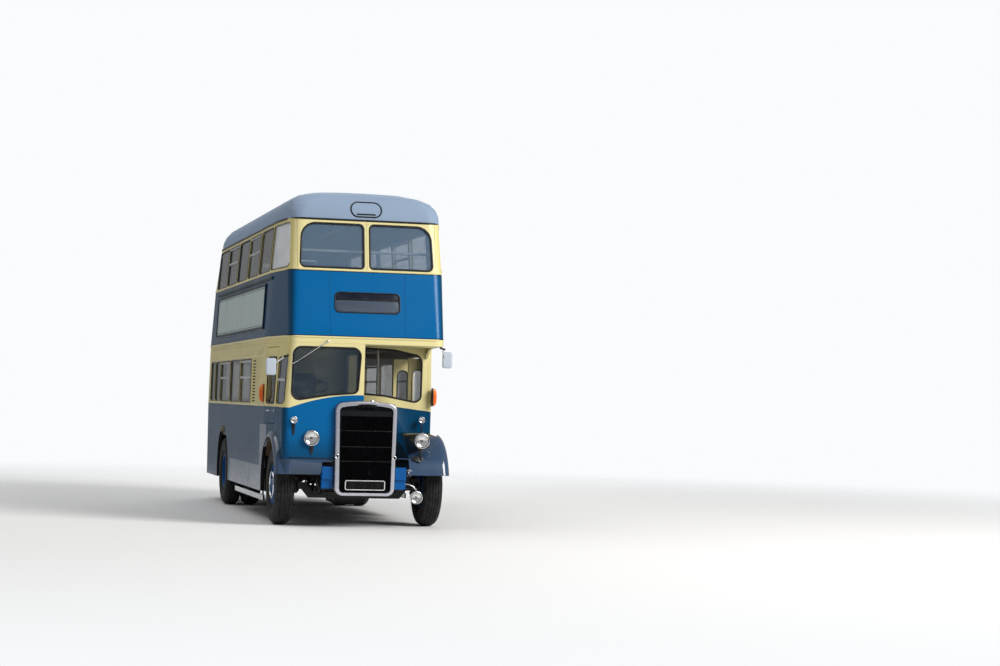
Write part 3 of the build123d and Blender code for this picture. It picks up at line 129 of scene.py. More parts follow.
class Finish:
    """A material as it is being made: its nodes, and its one Principled shader."""

    def __init__(self, name, **constants):
        self.material = bpy.data.materials.new(name)
        self.material.use_nodes = True
        self.tree = self.material.node_tree
        self.shader = self.tree.nodes["Principled BSDF"]
        self.place = self.node("ShaderNodeTexCoord", output="Object")
        for socket, value in constants.items():
            self.set(socket.replace("_", " "), value)

    def node(self, kind, settings=None, inputs=(), output=0):
        """Adds a node, sets it up, feeds its sockets and gives back one of its outputs."""
        node = self.tree.nodes.new(kind)
        for name, value in (settings or {}).items():
            setattr(node, name, value)
        pairs = inputs.items() if isinstance(inputs, dict) else enumerate(inputs)
        for key, value in pairs:
            self.feed(node.inputs[key], value)
        return Wire(self, node.outputs[output])

    def feed(self, socket, value):
        if isinstance(value, Wire):
            self.tree.links.new(value.socket, socket)
        elif socket.type == "RGBA":
            socket.default_value = (*value[:3], 1)
        else:
            socket.default_value = value

    def set(self, name, value):
        """Feeds one socket of the shader."""
        self.feed(self.shader.inputs[name], value)

    def along(self):
        """The place on the object as its three distances."""
        split = self.node("ShaderNodeSeparateXYZ", inputs=[self.place])
        return [Wire(self, split.socket.node.outputs[axis]) for axis in range(3)]

    def facing(self):
        """The outward direction of the surface as its three parts."""
        way = self.node("ShaderNodeNewGeometry", output="Normal")
        split = self.node("ShaderNodeSeparateXYZ", inputs=[way])
        return [Wire(self, split.socket.node.outputs[axis]) for axis in range(3)]

    def stretched(self, x, y, z):
        return self.node(
            "ShaderNodeVectorMath", {"operation": "MULTIPLY"}, [self.place, (x, y, z)]
        )

    def noise(self, scale, detail=3.0, rough=0.5, at=None):
        return self.node(
            "ShaderNodeTexNoise", {},
            {"Vector": at or self.place, "Scale": scale, "Detail": detail, "Roughness": rough},
        )

    def mix(self, mask, first, second):
        """The first colour where the mask is 0, and the second where it is 1."""
        return self.node(
            "ShaderNodeMix", {"data_type": "RGBA"}, {0: mask, 6: first, 7: second}, output=2
        )

    def relief(self, height, depth, strength=1.0):
        """Raises the surface by the height, at most this deep."""
        self.set("Normal", self.node(
            "ShaderNodeBump", {}, {"Height": height, "Distance": depth, "Strength": strength}
        ))


def paint_node(name, finish):
    """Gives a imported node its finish."""
    for entry in frame["nodes"][name].material_slots:
        entry.material = finish.material


BLACK = (0.012, 0.012, 0.014)
DUST = (0.19, 0.17, 0.145)


def under_paint(name, colour, rough, dust):
    """Old paint under the bus: dust settles on what faces up and grease darkens the rest."""
    finish = Finish(name, Roughness=rough, Metallic=0.0)
    up = finish.facing()[2].step(0.1, 0.9)
    patches = finish.noise(7, 5, 0.62).step(0.38, 0.75)
    fine = finish.noise(70, 3).step(0.35, 0.8)
    grime = finish.mix(fine * 0.35, colour, tuple(v * 0.35 for v in colour))
    finish.set("Base Color", finish.mix((up * 0.55 + 0.25) * patches * dust, grime, DUST))
    finish.set("Roughness", patches * 0.3 + rough)
    finish.relief(finish.noise(160, 4), 0.0008, 0.5)
    return finish


chassis_black = under_paint("chassis_black", (0.016, 0.016, 0.018), 0.5, 0.5)
engine_grey = under_paint("engine_grey", (0.085, 0.1, 0.095), 0.55, 0.35)
for node in ("front_axle", "rear_axle", "fuel_tank", "steering_knuckle_offside",
             "steering_knuckle_nearside", "steering_column"):
    paint_node(node, chassis_black)
paint_node("engine_block", engine_grey)

# The dumb irons at the frame's front are steel forgings, riveted to the side members. They are brushed in
# body blue, with the rest of the frame in chassis black behind them.
IRON_END, IRON_INNER = 0.100, 0.400
frame_paint = Finish("frame_paint", Metallic=0.0, Specular_IOR_Level=0.25)
across, along = frame_paint.along()[:2]
iron = along.below(back(IRON_END - 0.002), back(IRON_END))
iron = iron * across.size().step(IRON_INNER, IRON_INNER + 0.002)
frame_paint.set("Base Color", frame_paint.mix(iron, (0.017, 0.017, 0.02), (0.0, 0.085, 0.300)))
frame_paint.set("Roughness", 0.55 - iron * 0.2)
frame_paint.relief(frame_paint.noise(160, 4), 0.0008, 0.5)
paint_node("chassis_frame", frame_paint)


def angles(count):
    """The start of each of this many even parts of a whole turn."""
    return np.linspace(0, 2 * pi, count, endpoint=False)


class Sheets:
    """Collects grids of points, rows by columns, and makes one mesh of them."""

    def __init__(self):
        self.points = []
        self.faces = []
        self.count = 0

    def grid(self, points, around=True, again=False, caps=True):
        """Skins a grid. Columns join into loops, rows too when asked, or else the end rows are capped."""
        rows, columns = points.shape[:2]
        index = np.arange(rows * columns).reshape(rows, columns) + self.count
        if around:
            index = np.concatenate((index, index[:, :1]), axis=1)
        if again:
            index = np.concatenate((index, index[:1]))
        quads = np.stack((index[:-1, :-1], index[:-1, 1:], index[1:, 1:], index[1:, :-1]), axis=-1)
        self.faces += quads.reshape(-1, 4).tolist()
        if caps and around and not again:
            self.faces += [index[0, -2::-1].tolist(), index[-1, :-1].tolist()]
        self.points.append(points.reshape(-1, 3))
        self.count += rows * columns
        return self

    def tube(self, path, radius, sides=12):
        """Sweeps a round section along a path, its frame carried on without twist and its ends domed."""
        path = np.asarray(path, float)
        run = np.gradient(path, axis=0)
        run /= np.linalg.norm(run, axis=1)[:, None]
        start = np.cross(run[0], (0.31, 0.17, 0.94))
        frames = [start / np.linalg.norm(start)]
        for way in run[1:]:
            turned = frames[-1] - way * (frames[-1] @ way)
            frames.append(turned / np.linalg.norm(turned))
        first = np.array(frames)
        second = np.cross(run, first)
        radius = np.broadcast_to(np.asarray(radius, float), len(path)).copy()
        dome = (0.55, 0.38)
        shrunk = (0.3, 0.8)
        path = np.pad(path, ((2, 2), (0, 0)), "edge")
        path[:2] -= run[0] * radius[0] * np.array(dome)[:, None]
        path[-2:] += run[-1] * radius[-1] * np.array(dome[::-1])[:, None]
        radius = np.pad(radius, 2, "edge") * np.concatenate((shrunk, np.ones(len(radius)), shrunk[::-1]))
        first = np.pad(first, ((2, 2), (0, 0)), "edge")
        second = np.pad(second, ((2, 2), (0, 0)), "edge")
        angle = angles(sides)
        ring = first[:, None] * np.cos(angle)[:, None] + second[:, None] * np.sin(angle)[:, None]
        return self.grid(path[:, None] + ring * radius[:, None, None])

    def lathe(self, profile, origin, axis, turns=48, whole=False):
        """Turns a profile of (distance along the axis, radius) about the axis."""
        profile = np.asarray(profile, float)
        axis = np.asarray(axis, float)
        axis = axis / np.linalg.norm(axis)
        first = np.cross(axis, (0.0, 0.0, 1.0) if abs(axis[2]) < 0.9 else (1.0, 0.0, 0.0))
        first /= np.linalg.norm(first)
        second = np.cross(axis, first)
        angle = angles(turns)
        ring = first * np.cos(angle)[:, None] + second * np.sin(angle)[:, None]
        points = np.asarray(origin) + axis * profile[:, None, :1] + ring * profile[:, None, 1:]
        return self.grid(points, again=whole)

    def plate(self, outline, out, thick, edge=0.003):
        """A flat plate: its outline in space, thickened along out, with a rounded front edge."""
        outline = np.asarray(outline, float)
        out = np.asarray(out, float)
        middle = outline.mean(axis=0)
        reach = np.abs(outline - middle).max()
        steps = ((0, 0), (thick - edge, 0), (thick - edge * 0.3, edge * 0.3), (thick, edge))
        rows = [outline + (middle - outline) * inset / reach + out * lift for lift, inset in steps]
        return self.grid(np.array(rows))

    def box(self, low, high, edge=0.004, corner=0.006, turns=4):
        """A bar or block, 0.1 mm thick at least, with rounded upright corners and eased other edges."""
        low = np.minimum(low, high).astype(float)
        high = np.maximum(high, low + 1e-4)
        corner = min(corner, (high[0] - low[0]) * 0.45, (high[1] - low[1]) * 0.45)
        edge = min(edge, corner * 0.8, (high[2] - low[2]) * 0.45)
        angle = angles(4 * turns) + pi / 4 / turns
        unit = np.stack((np.cos(angle), np.sin(angle)), axis=-1)
        half = (high - low)[:2] / 2
        middle = (high + low)[:2] / 2
        rows = []
        for z, inset in ((low[2], edge), (low[2] + edge, 0), (high[2] - edge, 0), (high[2], edge)):
            place = middle + np.sign(unit) * (half - corner) + unit * (corner - inset)
            rows.append(np.column_stack((place, np.full(len(place), z))))
        return self.grid(np.array(rows))

    def strip(self, path, out, section):
        """A moulding round a closed path: its section gives distances across and outwards."""
        path = np.asarray(path, float)
        run = np.roll(path, -1, axis=0) - np.roll(path, 1, axis=0)
        run /= np.linalg.norm(run, axis=1)[:, None]
        out = np.broadcast_to(np.asarray(out, float), path.shape)
        side = np.cross(run, out)
        side /= np.linalg.norm(side, axis=1)[:, None]
        section = np.asarray(section, float)
        points = path[:, None] + side[:, None] * section[:, :1] + out[:, None] * section[:, 1:]
        return self.grid(points, again=True)

    def made(self, name, body, slot, finish, bend=38):
        """Makes the mesh, turns its faces outwards, and lets it ride on a body."""
        mesh = bpy.data.meshes.new(name)
        mesh.from_pydata(np.concatenate(self.points), [], self.faces)
        work = bmesh.new()
        work.from_mesh(mesh)
        bmesh.ops.recalc_face_normals(work, faces=work.faces)
        work.to_mesh(mesh)
        work.free()
        mesh.materials.append(finish.material)
        mesh.shade_smooth()
        mesh.set_sharp_from_angle(angle=radians(bend))
        piece = bpy.data.objects.new(name, mesh)
        bpy.context.scene.collection.objects.link(piece)
        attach(piece, body)
        return piece


def rounded(corners, step=0.05, turns=5):
    """A closed line with its corners rounded: each corner has its two places and a radius."""
    corners = np.asarray(corners, float)
    ends = []
    for here, before, after in zip(corners, np.roll(corners, 1, axis=0), np.roll(corners, -1, axis=0)):
        inward = (before - here)[:2] / np.linalg.norm((before - here)[:2])
        onward = (after - here)[:2] / np.linalg.norm((after - here)[:2])
        half = np.arccos(np.clip(inward @ onward, -1, 1)) / 2
        reach = here[2] / np.tan(half)
        middle = here[:2] + (inward + onward) / np.linalg.norm(inward + onward) * here[2] / np.sin(half)
        start = here[:2] + inward * reach - middle
        stop = here[:2] + onward * reach - middle
        share = np.linspace(0, 1, turns + 1)[:, None]
        arc = start * (1 - share) + stop * share
        arc *= here[2] / np.maximum(np.linalg.norm(arc, axis=1), 1e-9)[:, None]
        ends.append(middle + arc)
    line = []
    for arc, following in zip(ends, ends[1:] + ends[:1]):
        line.append(arc)
        gap = following[0] - arc[-1]
        parts = int(np.linalg.norm(gap) / step)
        if parts > 1:
            share = np.arange(1, parts)[:, None] / parts
            line.append(arc[-1] + gap * share)
    return np.concatenate(line)


# Body panels: aluminium sheet over an oak and steel frame, coach painted in blue and cream with a darker
# line at each joint. The panels are copied with their loose triangles joined, so that the rounded corners
# shade as curves.
def joined_copy(node, finish, bend=32):
    """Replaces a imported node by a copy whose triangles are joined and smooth, but sharp past this angle."""
    source = frame["nodes"][node]
    mesh = source.data.copy()
    mesh.name = node + "_skin"
    work = bmesh.new()
    work.from_mesh(mesh)
    bmesh.ops.remove_doubles(work, verts=work.verts, dist=1e-5)
    bmesh.ops.dissolve_degenerate(work, edges=work.edges, dist=1e-6)
    work.to_mesh(mesh)
    work.free()
    mesh.materials.clear()
    mesh.materials.append(finish.material)
    mesh.shade_smooth()
    mesh.set_sharp_from_angle(angle=radians(bend))
    piece = bpy.data.objects.new(node + "_finished", mesh)
    bpy.context.scene.collection.objects.link(piece)
    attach(piece, source.parent.name.removeprefix("body:"))
    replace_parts(piece, node)
    return piece


BLUE = (0.0, 0.118, 0.330)
SHADED_BLUE = (0.0, 0.018, 0.030)
CREAM = (0.77, 0.685, 0.345)
SHADED_CREAM = (0.62, 0.50, 0.10)
NAVY = (0.004, 0.012, 0.045)
LINING = (0.42, 0.37, 0.26)
UPPER_LINING = (0.20, 0.24, 0.30)
SKIRT_GREY = (0.26, 0.30, 0.37)

# Heights where the colours change, the arc over the cab's blue, and the slope over the bulkhead's
WAIST_Z = 1.524
BAND_TOP_Z = 2.442
UPPER_WAIST_Z = 3.283
ARC_X, ARC_Z, ARC_BEND = -0.06, 1.696, 0.209
SLOPE_Z, SLOPE_FALL = 1.632, 0.118

# Panel joints: beside the middle of the front, and on each deck's sides as heights and distances back
FRONT_JOINT_X, PILLAR_JOINT_X = 0.489, 0.905
SIDE_JOINTS = (
    (0.30, 2.42, (2.540, 3.770, 4.925, 6.120, 6.810)),
    (2.45, 3.95, (1.330, 2.490, 3.670, 4.845, 6.050)),
)


def coach_paint(name, colour, rough=0.22):
    """Brushed and varnished coach paint: faint orange peel, a little fading, and road dirt low down.

    The colour is one colour, or a function that works it out over the body.
    """
    finish = Finish(name, Metallic=0.0, IOR=1.45, Specular_IOR_Level=0.22)
    x, y, z = finish.along()
    fade = finish.noise(1.3, 1, 0.5).step(0.2, 0.8)
    if callable(colour):
        colour = colour(finish, x, y, z)
    colour = finish.mix(fade * 0.05, colour, (0.02, 0.08, 0.16))
    low = z.below(0.45, 1.15)
    splash = finish.noise(9, 6, 0.65, finish.stretched(1, 1, 0.35)).step(0.42, 0.72)
    colour = finish.mix(low * splash * 0.06, colour, DUST)
    finish.set("Base Color", colour)
    finish.set("Roughness", fade * 0.05 + splash * low * 0.08 + rough)
    finish.relief(finish.noise(90, 2), 0.0002, 0.12)
    return finish


def cream_area(x, y, z, bulkhead):
    """1 round both rows of windows, above the cab's arc and the bulkhead's slope, but not on the bonnet."""
    soft = 0.0015
    cab_front = y.below(back(0.25), back(0.30)) * x.below(-0.02, -0.019)
    centre = x - ARC_X
    arc = (ARC_Z - centre * centre * ARC_BEND).most(WAIST_Z - 0.005)
    slope = SLOPE_Z - x * SLOPE_FALL
    waist = (arc - WAIST_Z) * cab_front + (slope - WAIST_Z) * bulkhead + WAIST_Z
    bonnet = x.within(-0.026, 0.42, 0.001) * y.below(back(1.30), back(1.305)) * z.below(1.70, 1.71)
    above = (z - waist).step(-soft, soft) * (1 - bonnet)
    lower = above * z.below(BAND_TOP_Z - soft, BAND_TOP_Z + soft)
    return lower.most(z.step(UPPER_WAIST_Z - soft, UPPER_WAIST_Z + soft))


def joint_lines(x, y, z, side, forward):
    """1 along the thin gaps between panels."""
    front = (x.size() - FRONT_JOINT_X).size().below(0.002, 0.004) * z.within(BAND_TOP_Z, UPPER_WAIST_Z)
    pillars = (x.size() - PILLAR_JOINT_X).size().least(x.size()).below(0.002, 0.004) * z.step(3.30, 3.31)
    lines = front.most(pillars) * forward
    for low, high, joints in SIDE_JOINTS:
        for joint in joints:
            lines = lines.most((y - back(joint)).size().below(0.002, 0.004) * z.within(low, high) * side)
    return lines


def body_colours(finish, x, y, z):
    """Blue and cream with navy lines and joints, a grey skirt, black louvres, painted shade on the sides, the
    cab's foot and the bulkhead, and lining paint inside.
    """
    normal_x, normal_y = finish.facing()[:2]
    side = normal_x.size().step(0.6, 0.7)
    forward = y.below(back(0.55), back(0.60))
    bulkhead = y.within(back(1.30), back(1.36)) * x.step(0.0, 0.001)
    cream = cream_area(x, y, z, bulkhead)
    # The cream on the sides is mixed towards SHADED_CREAM, a painted shade.
    colour = finish.mix(cream, BLUE, finish.mix(side * 0.4, CREAM, SHADED_CREAM))
    edge = (z - BAND_TOP_Z).size().least((z - UPPER_WAIST_Z).size())
    colour = finish.mix(edge.below(0.007, 0.009), colour, NAVY)

    sill = z.within(0.40, 0.73) * y.within(back(1.36), back(4.72))
    guard = z.within(0.40, 1.285) * y.within(back(1.02), back(1.56))
    skirt = sill.most(guard) * x.below(0, 0.01)
    colour = finish.mix(skirt, colour, SKIRT_GREY)
    colour = finish.mix(joint_lines(x, y, z, side, forward) * 0.55, colour, NAVY)
    louvres = z.within(1.570, 2.150) * y.within(back(2.15), back(2.49)) * x.within(-1.126, -1.0, 0.001)
    foot_board = z.below(1.105, 1.11) * y.within(back(1.2), back(1.40)) * normal_x.size().below(0.5, 0.6)
    colour = finish.mix(louvres.most(foot_board), colour, BLACK)

    # Painted shade: the blue on the sides, low on the cab's front and on the bulkhead is darkened towards
    # SHADED_BLUE.
    painted_flank_shade = normal_x.size().step(0.25, 0.80) * (1 - cream) * (1 - skirt * 0.8)
    foot = z.below(0.85, 1.30) * forward
    shade = (painted_flank_shade * 0.72).most(foot * 0.58).most(bulkhead * (1 - cream) * 0.66)
    colour = finish.mix(shade, colour, SHADED_BLUE)
    outward = (normal_x * x + normal_y * y).step(-0.02, 0.02).most(bulkhead)
    inside = finish.mix(z.step(2.4, 2.41), LINING, UPPER_LINING)
    inside = finish.mix(z.step(1.09, 1.10), (0.02, 0.02, 0.02), inside)
    return finish.mix(outward, inside, colour)


coachwork = coach_paint("coachwork", body_colours)
roof_paint = coach_paint("roof_paint", (0.25, 0.33, 0.45), 0.55)
cream_paint = coach_paint("cream_paint", CREAM)
PANELS = (
    (coachwork, "blue_paint", ("lower_side_offside", "lower_side_nearside", "lower_rear")),
    (coachwork, "cream_paint", ("cab_front", "cab_side")),
    (coachwork, "blue_paint", (
        "cab_door", "front_bulkhead", "upper_front", "upper_side_offside", "upper_side_nearside",
        "upper_rear", "emergency_window", "rear_door", "bonnet_lid",
    )),
    (roof_paint, "roof_paint", ("roof",)),
    (cream_paint, "cream_paint", (
        "door_leaf_aft_inner", "door_leaf_aft_outer", "door_leaf_fore_inner", "door_leaf_fore_outer",
        "canopy",
    )),
)
for finish, slot, nodes in PANELS:
    for node in nodes:
        joined_copy(node, finish)

# The skin's rows from the foot to the roof's edge: height, half width, the nose's narrowing, how far the
# front and the rear are set back, and the radii of the front and rear corners.
SKIN = np.array((
    (0.400, 1.134, 0.080, 0.000, 0.000, 0.110, 0.210),
    (1.524, 1.142, 0.080, 0.000, 0.000, 0.110, 0.210),
    (2.351, 1.130, 0.127, 0.000, 0.000, 0.120, 0.215),
    (2.442, 1.129, 0.127, 0.000, 0.000, 0.120, 0.215),
    (3.283, 1.093, 0.092, 0.170, 0.135, 0.150, 0.240),
    (3.957, 1.043, 0.060, 0.310, 0.395, 0.190, 0.300),
)).T
NOSE_END = 1.15


def skin_at(z):
    """The skin's six measures at a height, each carried straight from row to row."""
    return [np.interp(z, SKIN[0], measure) for measure in SKIN[1:]]


def front_y(x, z):
    """The body's front face: flat, leaning back above the waist, with quarter circles round its corners."""
    half, nose, lead, _, turn, _ = skin_at(z)
    past = np.clip(np.abs(x) - (half - nose - turn), 0, turn)
    return CAB_Y + lead + turn - np.sqrt(turn ** 2 - past ** 2)


def side_x(y, z):
    """Half the body's width: full behind the cab, narrower to the nose, with quarter circles at the ends."""
    half, nose, lead, trail, turn, tail = skin_at(z)
    fore = y - CAB_Y
    past = np.clip(turn - (fore - lead), 0, turn)
    behind = np.clip(y - (REAR_Y - trail - tail), 0, tail)
    flat = half - nose * np.clip((NOSE_END - fore) / (NOSE_END - lead), 0, 1)
    return flat - turn + np.sqrt(turn ** 2 - past ** 2) - tail + np.sqrt(tail ** 2 - behind ** 2)


def rear_y(x, z):
    """The body's back: flat, leaning forwards above the waist, with quarter circles round its corners."""
    half, _, _, trail, _, tail = skin_at(z)
    past = np.clip(np.abs(x) - (half - tail), 0, tail)
    return REAR_Y - trail - tail + np.sqrt(tail ** 2 - past ** 2)


def slopes(surface, across, z, step=0.004):
    """How steeply a surface rises across and up, from points a small step away."""
    return ((surface(across + step, z) - surface(across - step, z)) / (2 * step),
            (surface(across, z + step) - surface(across, z - step)) / (2 * step))


def on_side(hand, line, lift=0.0):
    """Points on one side of the body from pairs of y and z, and the way out from the surface at each."""
    y, z = line.T
    along, up = slopes(side_x, y, z)
    out = np.column_stack((np.full(len(y), float(hand)), -along, -up))
    out /= np.linalg.norm(out, axis=1)[:, None]
    return np.column_stack((hand * side_x(y, z), y, z)) + out * lift, out


def on_end(surface, way, line, lift=0.0):
    """The same on the front or back, from pairs of x and z."""
    x, z = line.T
    across, up = slopes(surface, x, z)
    out = np.column_stack((-across * way, np.full(len(x), float(way)), -up * way))
    out /= np.linalg.norm(out, axis=1)[:, None]
    return np.column_stack((x, surface(x, z), z)) + out * lift, out


# Tyres: cross-ply rubber with a ribbed zigzag tread, single in front and in pairs at the rear. They are
# moulded rings whose beads grip the rims.
AXLE_Z, TYRE_R, TYRE_W, RIM_R = 0.510, 0.510, 0.250, 0.262
FRONT_AXLE_Y, REAR_AXLE_Y = back(0.706), back(5.684)
GROOVES = (0.056, 0.019, -0.019, -0.056)
GROOVE_DEPTH, ZIGZAG, BLOCKS = 0.011, 0.005, 54

# Each corner's body, how its pieces are named, its axle, and the middles of its tyres, the outer one first
CORNERS = (
    ("wheel_front_offside", "front_{}_offside", FRONT_AXLE_Y, (-0.970,)),
    ("wheel_front_nearside", "front_{}_nearside", FRONT_AXLE_Y, (0.970,)),
    ("wheels_rear_offside", "rear_{}_offside", REAR_AXLE_Y, (-0.996, -0.696)),
    ("wheels_rear_nearside", "rear_{}_nearside", REAR_AXLE_Y, (0.996, 0.696)),
)


def worn(name, grain, span, colours, rough, relief=None, **constants):
    """A finish that goes from its first colour to its second, and gets rougher, where noise has it worn."""
    finish = Finish(name, **constants)
    wear = finish.noise(*grain).step(*span)
    finish.set("Base Color", finish.mix(wear, *colours))
    finish.set("Roughness", wear * rough[1] + rough[0])
    if relief:
        finish.relief(finish.noise(*relief[:2]), *relief[2:])
    return finish


def tyre_grid(x, y, hand):
    """A ring of rubber about an axle.

    Across the section the half width is 0.125 |cos a|^0.8, and the height 0.5 + 0.5 |sin a|^0.62 of the
    wall's, or 0.5 - 0.5 |sin a|^0.62 below its middle, for a round the section. The tread's four grooves
    run at x = g + 0.005 (2 |2 frac(54 b) - 1| - 1), for b round the tyre.
    """
    a = np.radians(np.array((-90, -75, -60, -42, -24, -8, 8, 22, 34, 46, 56, 63)))
    half = np.sign(np.cos(a)) * np.abs(np.cos(a)) ** 0.8 * TYRE_W / 2
    wall = 0.5 + 0.5 * np.sign(np.sin(a)) * np.abs(np.sin(a)) ** 0.62
    low = np.column_stack((half, RIM_R + 0.004 + wall * (TYRE_R - RIM_R - 0.006)))
    low[0] = (0.078, RIM_R - 0.002)
    low[1, 0] = 0.108
    edges = ((0.0055, 0), (0.003, 1), (-0.003, 1), (-0.0055, 0))
    tread = np.array([(groove + offset, sunk) for groove in GROOVES for offset, sunk in edges])
    crown = TYRE_R - 0.001 - 0.006 * (tread[:, 0] / 0.08) ** 2
    tread_rows = np.column_stack((tread[:, 0], crown - tread[:, 1] * GROOVE_DEPTH))
    base = np.concatenate((low, tread_rows, low[::-1] * (-1, 1)))
    weave = np.pad(np.ones(len(tread)), len(low))
    turn = angles(4 * BLOCKS)[:, None]
    zigzag = ZIGZAG * (np.abs(np.arange(4 * BLOCKS) % 4 - 2) - 1)
    across = base[:, 0] + zigzag[:, None] * weave
    r = base[:, 1]
    return np.stack((x + hand * across, y + np.sin(turn) * r, AXLE_Z + np.cos(turn) * r), axis=-1)


rubber = worn(
    "tyre_rubber", (13, 5, 0.6), (0.35, 0.7), ((0.009, 0.009, 0.010), (0.034, 0.034, 0.034)),
    (0.55, 0.3), (300, 3, 0.0006, 0.5), Metallic=0.0, Specular_IOR_Level=0.2,
)
for body, name, y, middles in CORNERS:
    ring = Sheets()
    for x in middles:
        ring.grid(tyre_grid(x, y, np.sign(x)), again=True)
    tyre = name.format("tyre") if len(middles) == 1 else name.format("tyres")
    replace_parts(ring.made(tyre + "_treaded", body, "tyre", rubber, 50), tyre)

# Wheels: pressed steel discs in body blue on ten studs, with plated nuts. The front hubs have a chromed
# guard ring on five struts for the driver's foot.
NUTS, STRUT_ANGLES = 10, (20, 92, 164, 236, 308)
FRONT_STUDS, REAR_STUDS = (0.062, 0.118), (0.018, 0.085)
GUARD_R, GUARD_OUT = 0.168, 0.108
wheel_paint = coach_paint("wheel_paint", (0.0, 0.09, 0.30), 0.3)
chrome = worn(
    "chrome", (22, 4, 0.6), (0.42, 0.8), ((0.86, 0.87, 0.89), (0.60, 0.60, 0.60)),
    (0.08, 0.22), Metallic=1.0,
)
for body, name, y, middles in CORNERS:
    wheel = name.format("wheel")
    joined_copy(wheel, wheel_paint)
    middle = np.array((middles[0], y, AXLE_Z))
    axis = np.array((np.sign(middles[0]), 0.0, 0.0))
    front = len(middles) == 1
    seat, ring_r = FRONT_STUDS if front else REAR_STUDS
    nuts = Sheets()
    for turn in angles(NUTS):
        foot = middle + np.array((0.0, cos(turn), sin(turn))) * ring_r + axis * seat
        nuts.lathe([(-0.004, 0.016), (0.014, 0.016), (0.018, 0.012)], foot, axis, 6)
        nuts.lathe([(0.0, 0.008), (0.026, 0.008), (0.029, 0.005)], foot, axis, 12)
    if front:
        sweep = angles(60)
        circle = np.column_stack((np.zeros(60), np.cos(sweep), np.sin(sweep))) * GUARD_R
        round_bar = np.column_stack((np.cos(angles(12)), np.sin(angles(12)))) * 0.012
        nuts.strip(middle + circle + axis * GUARD_OUT, axis, round_bar)
        for turn in np.radians(STRUT_ANGLES):
            spoke = np.array((0.0, cos(turn), sin(turn)))
            strut = (spoke * 0.155 + axis * 0.048, spoke * GUARD_R + axis * GUARD_OUT)
            nuts.tube(middle + np.array(strut), 0.008, 8)
    nuts.made(wheel + "_nuts", body, "chrome", chrome, 30)

# Wings: pressed steel, painted a glossy slate blue, bolted to the frame and the bulkhead. The nearside one
# is black on top, inboard of its domed crown, and both are black beneath, as are the lifeguards inside.
WING_GREY = (0.030, 0.062, 0.125)


def wing_colours(finish, x, y, z):
    """Slate on the crown and the apron, and black on top inboard of the crown and where the wing faces the
    wheel.
    """
    normal_x, normal_y, normal_z = finish.facing()
    crease = (x - 0.459) * 0.347 + 0.894
    crown = (y - back(0.3)) * 0.2225 + 0.906
    inboard_top = (z - crease).step(-0.004, 0.004) * (x - crown).below(-0.003, 0.003) * x.step(0, 0.01)
    to_wheel = ((y - FRONT_AXLE_Y) * normal_y + (z - AXLE_Z) * normal_z).below(-0.02, 0.02)
    under = to_wheel * normal_x.size().below(0.6, 0.7) * (1 - y.within(back(-0.1), back(0.06)))
    return finish.mix(inboard_top.most(under), WING_GREY, BLACK)


wing_paint = coach_paint("wing_paint", wing_colours, 0.18)
wing_paint.set("Coat Weight", 1.0)
wing_paint.set("Coat Roughness", 0.06)
for node in ("wing_nearside", "wing_offside", "lifeguards"):
    joined_copy(node, wing_paint)

# The nearside headlamp stands on a cast plate on the wing, held by two hexagon bolts, with a post up to the
# bowl. All are black enamelled iron.
black_iron = worn(
    "black_iron", (30, 4, 0.6), (0.4, 0.75), ((0.010, 0.010, 0.011), (0.035, 0.034, 0.033)),
    (0.28, 0.25), (180, 2, 0.0003, 0.3), Metallic=0.0, Specular_IOR_Level=0.3,
)
WING_R = 0.719
PLATE_OUT = (0.0, -0.8, 0.6)
bracket = Sheets()
corners = [(0.592, 0.891, 0.02), (0.738, 0.842, 0.02), (0.815, 0.921, 0.02), (0.683, 0.925, 0.02)]
diamond = rounded(corners, 0.03)
wing_y = FRONT_AXLE_Y - np.sqrt(WING_R ** 2 - (diamond[:, 1] - AXLE_Z) ** 2)
bracket.plate(np.column_stack((diamond[:, 0], wing_y - 0.002, diamond[:, 1])), PLATE_OUT, 0.012)
for x in (0.650, 0.752):
    bracket.lathe([(0, 0.014), (0.008, 0.014), (0.011, 0.010)], (x, back(0.118), 0.900), PLATE_OUT, 6)
bracket.tube([(0.752, back(0.108), 0.880), (0.754, back(0.095), 0.950), (0.760, back(0.118), 1.040)], 0.016)
bracket.made("headlamp_bracket", "root", "black_iron", black_iron)

# Windows: toughened panes held in black rubber, which stands proud of the panels. The rubber is one closed
# moulding a pane, bent round the body's corners with the panel that it grips.
LOWER_SILL, LOWER_HEAD, UPPER_SILL, UPPER_HEAD = 1.565, 2.165, 3.325, 3.905
LOWER_PILLARS = (2.540, 3.770, 4.925, 6.120, 6.810, 7.426)
UPPER_PILLARS = (1.325, 2.490, 3.670, 4.845, 6.050, 7.292)
PILLAR = 0.092
BULKHEAD_Y = back(1.333)
# The rubber's section as (across, outwards)
GASKET = np.array([
    (-0.010, -0.014), (0.013, -0.003), (0.015, 0.002), (0.011, 0.0055), (0.002, 0.0065), (-0.007, 0.005),
    (-0.011, 0.000),
])


def bays(pillars):
    """The windows between neighbouring pillars."""
    return [(a + PILLAR / 2, b - PILLAR / 2) for a, b in zip(pillars, pillars[1:])]


def oblong(low, high, foot, top, radius=0.045):
    """The corners of an upright rectangle, all with one radius."""
    return [(low, foot, radius), (high, foot, radius), (high, top, radius), (low, top, radius)]


def pane(low, high, foot, top, radius=0.045):
    """The same on the body's side, between two distances back."""
    return oblong(back(low), back(high), foot, top, radius)


def at_y(line, y):
    """Points across the bus at one y, from pairs of x and z."""
    return np.column_stack((line[:, 0], np.full(len(line), y), line[:, 1]))


